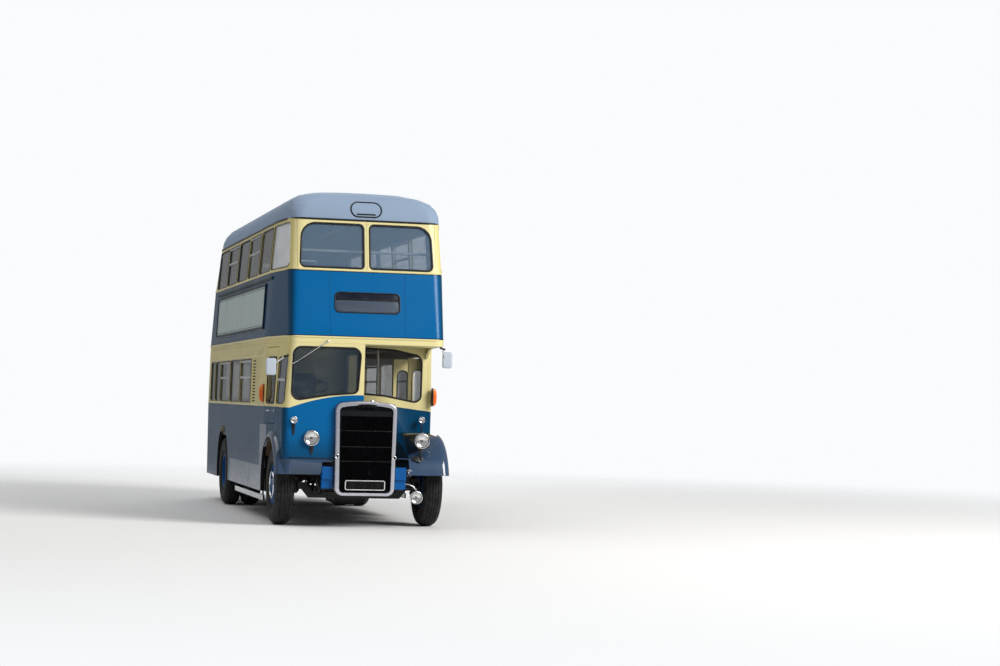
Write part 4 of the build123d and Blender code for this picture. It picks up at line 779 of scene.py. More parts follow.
QUARTER_LIGHT = [
    (back(0.262), UPPER_SILL, 0.06), (back(1.279), UPPER_SILL, 0.05), (back(1.279), UPPER_HEAD, 0.05),
    (back(0.396), UPPER_HEAD, 0.06),
]
WINDSCREEN = [
    (-0.965, 1.604, 0.10), (-0.475, 1.690, 0.60), (-0.110, 1.722, 0.07), (-0.075, 2.296, 0.10),
    (-0.950, 2.296, 0.10),
]
UPPER_FRONT = [
    (0.038, UPPER_SILL, 0.045), (0.872, UPPER_SILL, 0.07), (0.847, UPPER_HEAD, 0.19),
    (0.038, UPPER_HEAD, 0.06),
]
BULKHEAD_WINDOW = [
    (0.120, 1.722, 0.04), (0.500, 1.697, 0.50), (1.000, 1.606, 0.09), (1.006, 2.240, 0.11),
    (0.620, 2.318, 0.70), (0.120, 2.338, 0.04),
]
rubber_black = worn(
    "window_rubber", (35, 4, 0.6), (0.4, 0.75), ((0.008, 0.008, 0.009), (0.03, 0.03, 0.032)),
    (0.32, 0.25), (260, 2, 0.0003, 0.3), Metallic=0.0, Specular_IOR_Level=0.25,
)
rubbers = Sheets()
for hand in (-1, 1):
    openings = [pane(a, b, LOWER_SILL, LOWER_HEAD) for a, b in bays(LOWER_PILLARS)]
    openings += [pane(a, b, UPPER_SILL, UPPER_HEAD) for a, b in bays(UPPER_PILLARS)]
    openings.append(QUARTER_LIGHT)
    if hand < 0:
        openings.append(pane(0.050, 0.450, LOWER_SILL, LOWER_HEAD))
    for corners in openings:
        rubbers.strip(*on_side(hand, rounded(corners)), GASKET * (-0.45 * hand, 0.7))
    line = rounded([(hand * x, z, radius) for x, z, radius in UPPER_FRONT])
    rubbers.strip(*on_end(front_y, -1, line), GASKET * (-hand, 1))
    line = rounded([(hand * x, z, radius) for x, z, radius in oblong(0.450, 0.850, LOWER_SILL, LOWER_HEAD)])
    rubbers.strip(*on_end(rear_y, 1, line), GASKET * (hand, 1))
rubbers.strip(*on_end(front_y, -1, rounded(WINDSCREEN)), GASKET * (-1, 1))
rubbers.strip(at_y(rounded(BULKHEAD_WINDOW), BULKHEAD_Y), (0.0, -1.0, 0.0), GASKET * (-1, 1))
rubbers.made("window_rubbers", "root", "black_rubber", rubber_black, 50)

# Glass: thin panes with a faint smear, gripped by the rubbers. The upper front panes carry a pale blue
# painted sky reflection, the windscreen is darker with a painted shade, the corner lights are nearly white
# with a painted sky reflection, and the side panes carry a painted shade that is darker on the offside than
# on the nearside.
glass = Finish("window_glass", Metallic=0.0, IOR=1.5, Coat_Weight=1.0, Coat_Roughness=0.02)
x, y, z = glass.along()
smear = glass.noise(3.5, 5, 0.6).step(0.4, 0.8)
upper = z.step(3.0, 3.1)
front = y.below(back(0.48), back(0.50))
side = x.size()
sky_reflection_front = upper * front * side.below(0.93, 0.94)
corner = upper * side.step(0.935, 0.945) * y.below(back(1.30), back(1.31))
screen_shade = z.below(2.40, 2.45) * front * x.below(-0.03, -0.02)
painted_flank_shade = side.step(0.93, 0.94) * (1 - corner) * (1 - x.step(0, 0.01) * 0.6)
# Painted light: a pale blue sky reflection on the upper front panes, a dark shade on the windscreen, a nearly
# white sky reflection on the corner lights, and a dark shade on the side panes.
tint = glass.mix(sky_reflection_front, (0.016, 0.028, 0.024), (0.21, 0.33, 0.48))
tint = glass.mix(screen_shade, tint, (0.030, 0.055, 0.085))
tint = glass.mix(corner, tint, (0.90, 0.94, 0.98))
glass.set("Base Color", glass.mix(smear * 0.4, tint, (0.20, 0.24, 0.28)))
glass.set("Roughness", 0.02 + smear * 0.05)
sheen = glass.node("ShaderNodeFresnel", {}, {"IOR": 1.6})
# How far each painted reflection and painted shade covers the view through the glass.
cover = sky_reflection_front * 0.22 + screen_shade * 0.32 + painted_flank_shade * 0.36 + corner * 0.85
glass.set("Alpha", (sheen * 0.4 + smear * 0.05 + cover + 0.08).least(1.0))
for node in ("lower_glass", "upper_glass", "cab_glass"):
    paint_node(node, glass)

# Sliding vents: two of the five windows in each row have a bright bar across and a slimmer one along the
# head, and the cab's side window has one bar. All are drawn aluminium, screwed to the pillars.
BAR = np.array([
    (-0.016, -0.010), (0.016, -0.010), (0.016, 0.003), (0.010, 0.007), (-0.010, 0.007), (-0.016, 0.003),
])
# Each row's pillars, which of its windows open, and the heights of the two bars
VENTS = (
    (LOWER_PILLARS, (1, 0, 1, 0, 0), 1.915, 2.135),
    (UPPER_PILLARS, (0, 1, 0, 1, 0), 3.655, 3.880),
)
alloy = Finish("bright_alloy", Metallic=1.0)
grain = alloy.noise(90, 3, 0.5, alloy.stretched(1, 0.1, 4)).step(0.35, 0.7)
alloy.set("Base Color", alloy.mix(grain, (0.80, 0.81, 0.83), (0.62, 0.63, 0.66)))
alloy.set("Roughness", grain * 0.15 + 0.25)
bars = Sheets()


def rail(hand, low, high, z, section):
    """A moulding along one side of the body between two distances back, at one height."""
    y = np.linspace(back(low), back(high), max(int((high - low) / 0.06), 8))
    path, out = on_side(hand, np.column_stack((y, np.full(len(y), z))))
    up = np.cross(out, (0.0, 1.0, 0.0))
    up /= np.linalg.norm(up, axis=1)[:, None]
    return path[:, None] + up[:, None] * section[:, :1] + out[:, None] * section[:, 1:]


for hand in (-1, 1):
    for pillars, opening, middle_z, head_z in VENTS:
        for (a, b), opens in zip(bays(pillars), opening):
            if opens:
                bars.grid(rail(hand, a + 0.012, b - 0.012, middle_z, BAR))
                bars.grid(rail(hand, a + 0.012, b - 0.012, head_z, BAR * 0.8))
bars.grid(rail(-1, 0.075, 0.435, 1.875, BAR))
bars.made("vent_bars", "root", "polished_alloy", alloy, 50)

# Radiator: a cast and polished surround in front of the engine, bolted to the dumb irons, round a black
# slatted core with three bright-edged bars across. It has two screw clamps and a filler cap.
RADIATOR_Y = -3.9645
FORWARDS = (0.0, -1.0, 0.0)
CLAMPS = ((-0.371, 0.917), (0.374, 0.905))
polished = worn(
    "polished_alloy", (5, 5, 0.6), (0.35, 0.75), ((0.70, 0.71, 0.78), (0.55, 0.56, 0.64)),
    (0.24, 0.12), (60, 3, 0.0002, 0.1), Metallic=0.85,
)
joined_copy("radiator_shell", polished, 40)

core = Finish("radiator_core", Metallic=0.0, Specular_IOR_Level=0.05)
z = core.along()[2]
header = z.within(1.425, 1.497, 0.003)
soot = core.noise(11, 5, 0.65).step(0.4, 0.75)
core.set("Base Color", core.mix(header * 0.3 + soot * 0.12, (0.0015, 0.002, 0.003), (0.030, 0.034, 0.04)))
core.set("Roughness", 0.5 + soot * 0.2)
core.relief(z.saw(0.012).within(0.25, 0.75, 0.1), 0.0008, 0.5)
paint_node("radiator_grille", core)

slats = Sheets()
for z in (1.242, 1.038, 0.854):
    slats.tube(np.linspace((-0.335, RADIATOR_Y + 0.012, z), (0.335, RADIATOR_Y + 0.012, z), 9), 0.004, 8)
slats.made("grille_bars", "root", "black_iron", black_iron)

RING = np.column_stack((np.cos(angles(12)), np.sin(angles(12))))
CAP = [(-0.03, 0.030), (0.010, 0.030), (0.014, 0.027), (0.020, 0.027), (0.022, 0.020), (0.024, 0.012)]
fittings = Sheets()
for x, z in CLAMPS:
    fittings.lathe(RING * 0.0055 + (0.0015, 0.021), (x, RADIATOR_Y, z), FORWARDS, 32, True)
fittings.lathe(CAP, (0.080, RADIATOR_Y + 0.071, 1.621), (0, 0, 1), 32)
fittings.made("radiator_fittings", "root", "chrome", chrome, 50)

# Badge plate: dark enamelled brass, bent to the surround's arched header. The drain ring and its tail under
# it and the clamps' centres are dark too, all of them screwed or wired on.
badge_black = worn(
    "badge_black", (40, 4), (0.4, 0.75), ((0.003, 0.003, 0.004), (0.007, 0.007, 0.008)),
    (0.35, 0.2), Metallic=0.0, Specular_IOR_Level=0.1,
)
dark = Sheets()
dark.lathe(RING * 0.0025 + (0.0, 0.021), (0.065, RADIATOR_Y + 0.004, 0.707), (0.2, -1, 0.3), 28, True)
dark.tube([(0.045, RADIATOR_Y + 0.005, 0.732), (0.030, RADIATOR_Y + 0.005, 0.745)], 0.0035, 8)
badge = rounded(oblong(-0.112, 0.128, 1.527, 1.574, 0.012), 0.02)
badge[:, 1] += 0.010 - badge[:, 0] ** 2 * 0.55
dark.plate(at_y(badge, RADIATOR_Y + 0.001), FORWARDS, 0.004, 0.001)
for x, z in CLAMPS:
    dark.lathe([(-0.002, 0.018), (0.004, 0.018), (0.006, 0.012)], (x, RADIATOR_Y, z), FORWARDS, 24)
dark.made("badge_plate", "root", "black_plastic", badge_black, 50)

# Number plate: a black plate of pressed aluminium with a white border painted round it, hung under the
# radiator's core on its own bar.
PLATE_Z, BORDER_X, BORDER_Z = 0.5505, 0.234, 0.0375
plate_black = Finish("plate_black", Metallic=0.0, Specular_IOR_Level=0.15)
x, y, z = plate_black.along()
over_x = (x.size() - BORDER_X).most(0.0)
over_z = ((z - PLATE_Z).size() - BORDER_Z).most(0.0)
border = (over_x * over_x + over_z * over_z).root().within(0.0155, 0.0245, 0.0008)
dull = plate_black.noise(18, 4).step(0.4, 0.75)
pressed = plate_black.mix(dull, (0.004, 0.004, 0.005), (0.008, 0.008, 0.009))
white = plate_black.mix(dull, (0.75, 0.76, 0.76), (0.55, 0.56, 0.55))
plate_black.set("Base Color", plate_black.mix(border, pressed, white))
plate_black.set("Roughness", 0.25 + dull * 0.2)
plate_black.relief(border, 0.002, 0.6)
paint_node("number_plate", plate_black)

# Lamps: spun bowls with a bright rim, a silvered reflector behind a ribbed glass, and rubber under the rim.
# Two headlamps, a fog lamp and two side lamps, each as x, z, radius, distance back and depth.
LAMPS = (
    (-0.696, 1.139, 0.100, -0.062, 0.060), (0.763, 1.125, 0.100, 0.060, 0.120),
    (0.692, 0.401, 0.084, 0.0, 0.085), (-0.926, 1.362, 0.045, -0.050, 0.048),
    (1.000, 1.385, 0.045, 1.220, 0.070),
)
# Profiles as (depth, radius) in parts of a lamp's radius, with the bowl's back in parts of its own depth
BOWL = (
    (0.44, 0.06), (0.43, 0.45), (0.38, 0.70), (0.27, 0.835), (0.10, 0.845), (0.08, 0.90), (0.10, 0.97),
    (0.18, 1.0), (0.34, 1.0), (0.40, 0.94), (0.42, 0.90),
)
BOWL_BACK = ((0.79, 0.66), (0.92, 0.42), (1.0, 0.16))
REFLECTOR = np.array((
    (0.205, 0.80), (0.30, 0.62), (0.36, 0.36), (0.38, 0.1), (0.39, 0.1), (0.40, 0.4), (0.34, 0.66),
    (0.22, 0.82),
))
BULB_SHIELD = np.array(((0.20, 0.02), (0.22, 0.15), (0.30, 0.17), (0.37, 0.12)))
LENS = np.array((
    (0.005, 0.08), (0.02, 0.36), (0.06, 0.62), (0.13, 0.83), (0.16, 0.83), (0.09, 0.62), (0.05, 0.36),
    (0.035, 0.08),
))
BACKWARDS = (0, 1, 0)
silvered = worn(
    "reflector", (25, 3), (0.4, 0.8), ((0.90, 0.90, 0.90), (0.72, 0.72, 0.70)), (0.10, 0.1), Metallic=1.0,
)
lens_glass = Finish("lamp_glass", Metallic=0.0, IOR=1.5, Roughness=0.08)
flutes = lens_glass.along()[0].saw(0.011) - 0.5
cloudy = lens_glass.noise(30, 3).step(0.4, 0.7)
lens_glass.set("Base Color", lens_glass.mix(cloudy, (0.80, 0.82, 0.83), (0.74, 0.77, 0.78)))
lens_glass.set("Alpha", lens_glass.node("ShaderNodeFresnel", {}, {"IOR": 1.5}) * 0.5 + 0.05)
lens_glass.relief(flutes * flutes, 0.002, 0.5)
bowls, reflectors, lenses, seals = Sheets(), Sheets(), Sheets(), Sheets()
for x, z, r, distance, deep in LAMPS:
    at = (x, back(distance), z)
    bowl = [(depth * r, radius * r) for depth, radius in BOWL]
    bowl.append((max(deep * 0.55, r * 0.46), r * 0.84))
    bowl += [(depth * deep, radius * r) for depth, radius in BOWL_BACK]
    bowls.lathe(bowl, at, BACKWARDS, 56)
    reflectors.lathe(REFLECTOR * r, at, BACKWARDS, 40, True)
    seals.lathe(BULB_SHIELD * r, at, BACKWARDS, 20)
    seals.lathe(RING * r * 0.035 + (r * 0.115, r * 0.845), at, BACKWARDS, 40, True)
    lenses.lathe(LENS * r, at, BACKWARDS, 48)
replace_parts(bowls.made("lamp_bowls", "root", "chrome", chrome, 60), "lamps")
reflectors.made("lamp_reflectors", "root", "chrome", silvered, 60)
seals.made("lamp_seals", "root", "black_rubber", rubber_black, 60)
lenses.made("lamp_lenses", "root", "glass", lens_glass, 60)

# Lamp brackets: black posts and tapering feet of forged iron, bolted through the wing, the panels and the
# frame. The fog lamp hangs from a small shelf by the dumb iron.
# Each post's points as x, distance back and z, and its radius
POSTS = (
    ([(0.763, 0.130, 1.060), (0.758, 0.100, 0.960), (0.752, 0.075, 0.870)], 0.012),
    ([(1.003, 1.250, 1.350), (1.003, 1.250, 1.170), (1.003, 1.250, 0.995)], 0.010),
    ([(0.692, 0.045, 0.470), (0.692, 0.045, 0.512)], 0.013),
    ([(-0.696, -0.030, 1.050), (-0.690, -0.018, 1.010), (-0.688, 0.002, 0.975)], 0.016),
    ([(-0.926, -0.022, 1.325), (-0.926, -0.016, 1.255), (-0.926, 0.002, 1.215)], 0.011),
)


def behind(places):
    """Places with a distance behind the cab's front in the middle, as points."""
    return np.array([(x, back(distance), z) for x, distance, z in places])


brackets = Sheets()
for places, radius in POSTS:
    brackets.tube(behind(places), radius)
for x, z, wide, high in ((-0.688, 1.005, 0.034, 0.075), (-0.926, 1.245, 0.024, 0.075)):
    corners = [(x - wide, z + high, 0.01), (x - wide * 0.4, z - high, 0.008)]
    corners += [(x + wide * 0.4, z - high, 0.008), (x + wide, z + high, 0.01)]
    foot = rounded(corners, 0.03)
    brackets.plate(at_y(foot, CAB_Y), FORWARDS, 0.010)
brackets.box(*behind(((0.545, 0.030, 0.510), (0.704, 0.060, 0.522))))
brackets.tube(behind(((0.692, 0.045, 0.470), (0.692, 0.045, 0.440))), 0.018)
brackets.made("lamp_brackets", "root", "black_iron", black_iron, 50)

# Tail lamps: three round prismed glasses one over another on each side, red above and below an amber one.
# They are screwed to the rear panels.
TAIL_LENS = [
    (-0.004, 0.042), (0.006, 0.042), (0.010, 0.038), (0.012, 0.036), (0.017, 0.026), (0.0195, 0.008),
]
tails = Sheets()
for x in (-0.900, 0.900):
    for z in (1.010, 1.130, 1.250):
        tails.lathe(TAIL_LENS, (x, REAR_Y, z), BACKWARDS, 36)
tail_red = Finish("tail_glass", Metallic=0.0, IOR=1.5, Roughness=0.12)
x, y, z = tail_red.along()
tail_red.set("Base Color", tail_red.mix(z.within(1.08, 1.19), (0.30, 0.004, 0.003), (0.55, 0.10, 0.004)))
tail_red.relief(x.saw(0.006).within(0.2, 0.8, 0.15) * z.saw(0.006).within(0.2, 0.8, 0.15), 0.0008, 0.6)
tails.made("tail_lenses", "root", "chrome", tail_red, 50)

# Floors and stairs: brown linoleum with wooden slats, cream painted ceilings under them, and black plates
# over the rear wheels. The staircase is ribbed steel, up the offside.
WHEEL_BOX_REACH, WHEEL_BOX_Z = 0.70, 1.05
lino = Finish("floor_lining", Metallic=0.0)
x, y, z = lino.along()
normal_x, normal_y, normal_z = lino.facing()
slat_gap = 1 - x.saw(0.052).within(0.12, 0.88, 0.05)
gap = slat_gap * normal_z.step(0.6, 0.8)
grain = lino.noise(26, 5, 0.6, lino.stretched(4, 0.3, 1)).step(0.35, 0.7)
wood = lino.mix(grain, (0.17, 0.105, 0.055), (0.075, 0.046, 0.026))
wood = lino.mix(gap, wood, (0.012, 0.010, 0.008))
under = normal_z.below(-0.8, -0.6)
reach = y - REAR_AXLE_Y
outer = (normal_x * x).most(reach * normal_y * -1.0).step(0.15, 0.30)
by_wheel = reach.size().below(WHEEL_BOX_REACH, WHEEL_BOX_REACH + 0.02) * x.size().step(0.35, 0.36)
wheel_side = outer * by_wheel * z.below(WHEEL_BOX_Z, WHEEL_BOX_Z + 0.02)
ceiling = lino.mix(z.step(1.5, 1.6), (0.02, 0.02, 0.02), (0.66, 0.64, 0.55))
lino.set("Base Color", lino.mix(wheel_side, lino.mix(under, wood, ceiling), BLACK))
lino.set("Roughness", 0.42 + grain * 0.2)
lino.relief(1 - gap, 0.003, 0.5)
for node in ("lower_floor", "upper_floor"):
    paint_node(node, lino)

steel = Finish("stair_steel", Metallic=0.0)
ribs = steel.along()[1].saw(0.024).within(0.25, 0.75, 0.08) * steel.facing()[2].step(0.6, 0.8)
scuffs = steel.noise(24, 5, 0.65).step(0.45, 0.7)
steel.set("Base Color", steel.mix(scuffs * 0.4 + ribs * 0.3, (0.16, 0.155, 0.13), (0.30, 0.30, 0.29)))
steel.set("Roughness", 0.35 + scuffs * 0.25)
steel.relief(ribs, 0.002, 0.7)
paint_node("staircase", steel)


# Cab lining: plywood, painted brown below the waist and stone above, with body colours on the face that
# looks over the bonnet. A steering wheel moulded in hard black plastic stands on its column.
def lining_colours(finish, x, y, z):
    """Brown below and stone above inside the cab, and body colours on the face towards the bonnet."""
    inner = finish.mix(z.step(1.50, 1.506), (0.10, 0.07, 0.045), (0.17, 0.16, 0.13))
    outer = finish.mix(z.step(1.60, 1.603), BLUE, CREAM)
    return finish.mix(finish.facing()[0].step(0.6, 0.7) * x.step(-0.034, -0.032), inner, outer)


joined_copy("cab_inner", coach_paint("saloon_lining", lining_colours, 0.3))
moulded_black = worn(
    "moulded_black", (30, 3), (0.4, 0.8), ((0.010, 0.009, 0.008), (0.035, 0.03, 0.026)),
    (0.2, 0.2), Metallic=0.0,
)
paint_node("steering_wheel", moulded_black)

# Rails: chromed steel tube, under the ceilings, up the stairs and round the stair well, with bright nosings
# on the treads. A white enamelled rail guards the upper front windows.
LOWER_FLOOR_Z, UPPER_FLOOR_Z = 0.720, 2.500
TREADS, FIRST_TREAD, LAST_TREAD = 8, 2.440, 1.390
STAIR_X = -0.470
nosings = Sheets()
rise = (UPPER_FLOOR_Z - LOWER_FLOOR_Z) / (TREADS + 1)
run = (FIRST_TREAD - LAST_TREAD) / TREADS
for step in range(TREADS):
    y = back(FIRST_TREAD - step * run)
    z = LOWER_FLOOR_Z + (step + 1) * rise
    nosings.box((-1.070, y - 0.034, z - 0.001), (-0.505, y + 0.004, z + 0.004), 0.0015, 0.003)
for distance, low, high in ((2.460, LOWER_FLOOR_Z, 2.440), (1.420, UPPER_FLOOR_Z, 3.280)):
    post = np.linspace((STAIR_X, distance, low + 0.01), (STAIR_X, distance, high - 0.01), 5)
    nosings.tube(behind(post), 0.015)
for z, radius in ((3.265, 0.015), (2.900, 0.013)):
    nosings.tube(behind(np.linspace((STAIR_X, 1.430, z), (STAIR_X, 2.430, z), 6)), radius)
nosings.made("stair_rails", "root", "chrome", chrome)

guard = Sheets()
guard.tube(behind(np.linspace((-0.93, 0.43, 3.556), (0.93, 0.43, 3.556), 12)), 0.019)
guard.made("window_guard_rail", "root", "grey_paint", coach_paint("rail_white", (0.90, 0.91, 0.92), 0.3))
paint_node("grab_rails", chrome)
# Each deck's rail: x, first and last distance, height, where its hangers end, and their shift forwards
CEILING_RAILS = ((0.30, 2.0, 7.2, 2.36, 2.44, 0.0), (0.27, 1.2, 6.9, 4.13, 4.30, 0.3))
rails = Sheets()
for hand in (-1, 1):
    for x, first, last, z, hung, shift in CEILING_RAILS:
        rails.tube(behind(np.linspace((hand * x, first, z), (hand * x, last, z), 12)), 0.013)
        for y in (2.4, 3.6, 4.8, 6.0, 7.0):
            rails.tube(behind(((hand * x, y - shift, z), (hand * x, y - shift, hung))), 0.008)
rails.made("saloon_rails", "root", "chrome", chrome)

# Seats: tubular frames under sprung cushions and padded backs, covered in patterned moquette edged with
# hide, with a chromed grab bar along each top. Each pad is a crowned form, drawn in at its seams.
LOWER_ROWS = (3.100, 3.800, 4.500, 6.720, 7.360)
UPPER_ROWS = (0.900, 1.640, 2.355, 3.070, 3.785, 4.500, 5.215, 5.930, 6.645)
BENCH_WIDE = 0.824
moquette = Finish("moquette", Metallic=0.0, Roughness=0.9)
x, y, z = moquette.along()
up = moquette.facing()[2].size().step(0.5, 0.7)
check = x.saw(0.09).within(0.3, 0.7, 0.03) + (z + (y - z) * up).saw(0.09).within(0.3, 0.7, 0.03)
pile = moquette.noise(420, 2, 0.6)
colour = moquette.mix((check * 0.5).least(1.0), (0.10, 0.016, 0.018), (0.05, 0.075, 0.022))
moquette.set("Base Color", moquette.mix(pile.step(0.3, 0.8) * 0.4, colour, (0.24, 0.13, 0.09)))
moquette.relief(pile, 0.0015, 0.6)
hide = Finish("hide", Metallic=0.0)
pores = hide.noise(210, 3, 0.6)
hide.set("Base Color", hide.mix(pores.step(0.35, 0.7), (0.035, 0.016, 0.012), (0.07, 0.035, 0.026)))
hide.set("Roughness", 0.38 + pores * 0.2)
hide.relief(pores, 0.0006, 0.5)


def cushion(wide, long, thick, crown):
    """A sprung pad before it is filled.

    The plan is |u|^6 + |v|^6 = 1 by rings from the middle outwards, and each face rises by
    crown (1 - s^2)(1 - t^2).
    """
    a = angles(60)
    edge = (np.abs(np.cos(a)) ** 6 + np.abs(np.sin(a)) ** 6) ** (-1 / 6)
    plan = np.stack((np.cos(a) * edge, np.sin(a) * edge), axis=-1)
    sizes = (0.06, 0.22, 0.38, 0.54, 0.68, 0.80, 0.90, 0.965, 1.0)
    rings = []
    for side, row in ((-1, sizes), (1, sizes[::-1])):
        for size in row:
            s, t = plan.T * size
            rim = np.sqrt(np.clip(1 - (max(size - 0.9, 0) / 0.1) ** 2, 0, 1))
            lift = side * (thick / 2 * (0.5 + 0.5 * rim) + crown * (1 - s ** 2) * (1 - t ** 2))
            rings.append(np.column_stack((s * wide / 2, t * long / 2, lift)))
    return np.array(rings)


def filled(pad, most=0.010):
    """The pad with its cover blown up as cloth, its seam held, and no point moved by more than the most."""
    rows, columns = pad.shape[:2]
    cover = Sheets().grid(pad).made("cover_being_filled", "root", "leather", moquette)
    seam = cover.vertex_groups.new(name="seam")
    seam.add([int(i) for i in range(columns * (rows // 2 - 1), columns * (rows // 2 + 1))], 1.0, "REPLACE")
    cloth = cover.modifiers.new("cloth", "CLOTH")
    cloth.settings.use_pressure = True
    cloth.settings.uniform_pressure_force = 4
    cloth.settings.vertex_group_mass = "seam"
    cloth.settings.effector_weights.gravity = 0
    cloth.settings.tension_stiffness = 40
    cloth.point_cache.frame_start, cloth.point_cache.frame_end = 1, 20
    for number in range(1, 21):
        bpy.context.scene.frame_set(number)
    blown = cover.evaluated_get(bpy.context.evaluated_depsgraph_get()).data
    places = np.empty(len(blown.vertices) * 3)
    blown.vertices.foreach_get("co", places)
    shift = places.reshape(pad.shape) - pad
    far = np.linalg.norm(shift, axis=2, keepdims=True)
    mesh = cover.data
    bpy.data.objects.remove(cover)
    bpy.data.meshes.remove(mesh)
    bpy.context.scene.frame_set(1)
    return pad + shift * np.minimum(1.0, most / np.maximum(far, 1e-9))


SEAT_PAD = filled(cushion(0.816, 0.372, 0.058, 0.004))
BACK_PAD = filled(cushion(0.816, 0.442, 0.036, 0.003), 0.008)
SIDE_PAD = filled(cushion(0.424, 1.090, 0.050, 0.004))
FLAT = np.eye(3)
LEAN = np.array(Matrix.Rotation(radians(-81.5), 3, "X")).T
UPRIGHT = np.array(Matrix.Rotation(radians(90), 3, "Y")).T


def laid(pads, welts, pad, turn, at, wide=1.0):
    """Puts one pad in place, with piping round its upper seam."""
    shape = (pad * (wide, 1, 1)) @ turn + at
    pads.grid(shape)
    upper = shape[len(shape) // 2]
    welts.strip(upper, turn[2] if turn[2] @ (0, -1, 1) > 0 else -turn[2], RING * 0.004)


def seat(pads, welts, x, y, floor, wide):
    """A cushion and a leaning back over one place on a floor."""
    laid(pads, welts, SEAT_PAD, FLAT, (x, y - 0.205, floor + 0.3825), wide / BENCH_WIDE)
    laid(pads, welts, BACK_PAD, LEAN, (x, y + 0.071, floor + 0.665), wide / BENCH_WIDE)


def seat_frame(tops, x0, x1, y, floor):
    """The grab bar over a bench, and its four legs."""
    rising = ((0.02, 0.100, 0.800), (0.03, 0.107, 0.878), (0.08, 0.108, 0.888))
    bar = [(x0 + inset, y + aft, floor + z) for inset, aft, z in rising]
    bar.append(((x0 + x1) / 2, y + 0.108, floor + 0.889))
    bar += [(x1 - inset, y + aft, floor + z) for inset, aft, z in rising[::-1]]
    tops.tube(bar, 0.0105, 10)
    for x in (x0 + 0.06, x1 - 0.06):
        for foot in (y - 0.36, y + 0.04):
            tops.tube([(x, foot, floor + 0.004), (x, foot, floor + 0.34)], 0.0125, 10)


def upholstered(pads, welts, node, cover):
    """Makes the pads and the piping of one node of seats."""
    made = pads.made(node + "_padded", "root", "leather", cover, 60)
    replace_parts(made, node)
    welts.made(node + "_piping", "root", "leather", hide, 60)


frames = Sheets()
for deck, rows, floor, half in (
    ("lower_seats", LOWER_ROWS, LOWER_FLOOR_Z, 1.073),
    ("upper_seats", UPPER_ROWS, UPPER_FLOOR_Z, 1.024),
):
    pads, welts = Sheets(), Sheets()
    upper = deck == "upper_seats"
    for distance in rows:
        for hand in (-1, 1):
            if upper and hand < 0 and 0.9 < distance < 2.9:
                continue
            outer = half - (0.092 if upper and distance < 1.15 else 0.0)
            x0, x1 = sorted((hand * (half - 0.840), hand * outer))
            seat(pads, welts, (x0 + x1) / 2, back(distance), floor, x1 - x0 - 0.016)
            seat_frame(frames, x0, x1, back(distance), floor)
    if not upper:
        for hand in (-1, 1):
            laid(pads, welts, SIDE_PAD, FLAT, (hand * 0.848, REAR_AXLE_Y, 1.130))
            laid(pads, welts, SIDE_PAD * (0.88, 1, 0.7), UPRIGHT, (hand * 1.038, REAR_AXLE_Y, 1.375))
    upholstered(pads, welts, deck, moquette)
frames.made("seat_frames", "root", "chrome", chrome, 60)
pads, welts = Sheets(), Sheets()
seat(pads, welts, -0.720, back(0.960), 1.080, 0.464)
upholstered(pads, welts, "driver_seat", hide)


# Mouldings: half-round beads over the joints between panels, a black drip rail under the roof, and rubber
# piping where the wing meets the cab. All are pinned through the panels.
def girdle(z):
    """A closed line round the body at one height, and the way out from it.

    Its front and back are straight, its corners quarter circles, and its sides follow the skin.
    """
    full, nose, lead, trail, turn, tail = skin_at(z)
    a = np.linspace(0, pi / 2, 9)
    front, rear = CAB_Y + lead, REAR_Y - trail
    flat = np.linspace(-1, 1, 15)[1:-1, None]
    fore = np.column_stack((full - nose - turn + turn * np.sin(a), front + turn - turn * np.cos(a)))
    side = np.linspace(front + turn, rear - tail, 90)[1:-1]
    side = np.column_stack((side_x(side, z), side))
    aft = np.column_stack((full - tail + tail * np.cos(a), rear - tail + tail * np.sin(a)))
    near = np.concatenate((fore, side, aft))
    line = np.concatenate((
        flat * (full - nose - turn, 0) + (0, front), near, flat[::-1] * (full - tail, 0) + (0, rear),
        near[::-1] * (-1, 1),
    ))
    run = np.roll(line, -1, axis=0) - np.roll(line, 1, axis=0)
    out = np.column_stack((run[:, 1], -run[:, 0], np.zeros(len(run))))
    out /= np.linalg.norm(out, axis=1)[:, None]
    return np.column_stack((line, np.full(len(line), z))), out


HALF_ROUND = np.array([
    (-1.0, -0.5), (1.0, -0.5), (0.92, 0.35), (0.6, 0.8), (0.0, 1.0), (-0.6, 0.8), (-0.92, 0.35),
])
DRIP_Z = 3.957
beads = Sheets()
for z in (2.427, 3.297):
    beads.strip(*girdle(z), HALF_ROUND * (0.013, 0.011))
for hand, start in ((-1, 1.16), (1, 2.56)):
    for z in (2.195, 1.534):
        beads.grid(rail(hand, start, 7.60, z, HALF_ROUND * (0.009, 0.007)))
beads.made("cream_beads", "root", "cream_paint", cream_paint, 50)
drip = Sheets()
drip.strip(*girdle(DRIP_Z), HALF_ROUND * (0.014, 0.013))
drip.tube(on_end(front_y, -1, np.linspace((-0.985, 0.884), (-0.420, 0.884), 24), 0.001)[0], 0.006, 8)
drip.made("drip_rail", "root", "black_rubber", rubber_black, 50)

# Ventilator in the front dome: a pressed aluminium flap in a black rubber ring, with its slot at the
# bottom. The dome's own line there is given as heights and how far back it leans.
DOME = np.array(((3.957, 0.310), (4.064, 0.334), (4.153, 0.376), (4.233, 0.450), (4.297, 0.572))).T


def dome_y(x, z):
    """The front of the roof, the same all the way across."""
    return CAB_Y + np.interp(z, DOME[0], DOME[1])


seal = Sheets()
line = rounded(oblong(-0.200, 0.200, 4.006, 4.204, 0.095), 0.03, 8)
seal.strip(*on_end(dome_y, -1, line), HALF_ROUND * (0.010, 0.010))
seal.tube(on_end(dome_y, -1, np.linspace((-0.120, 4.040), (0.120, 4.040), 9), 0.003)[0], 0.009, 10)
seal.made("dome_vent_seal", "root", "black_rubber", rubber_black, 50)

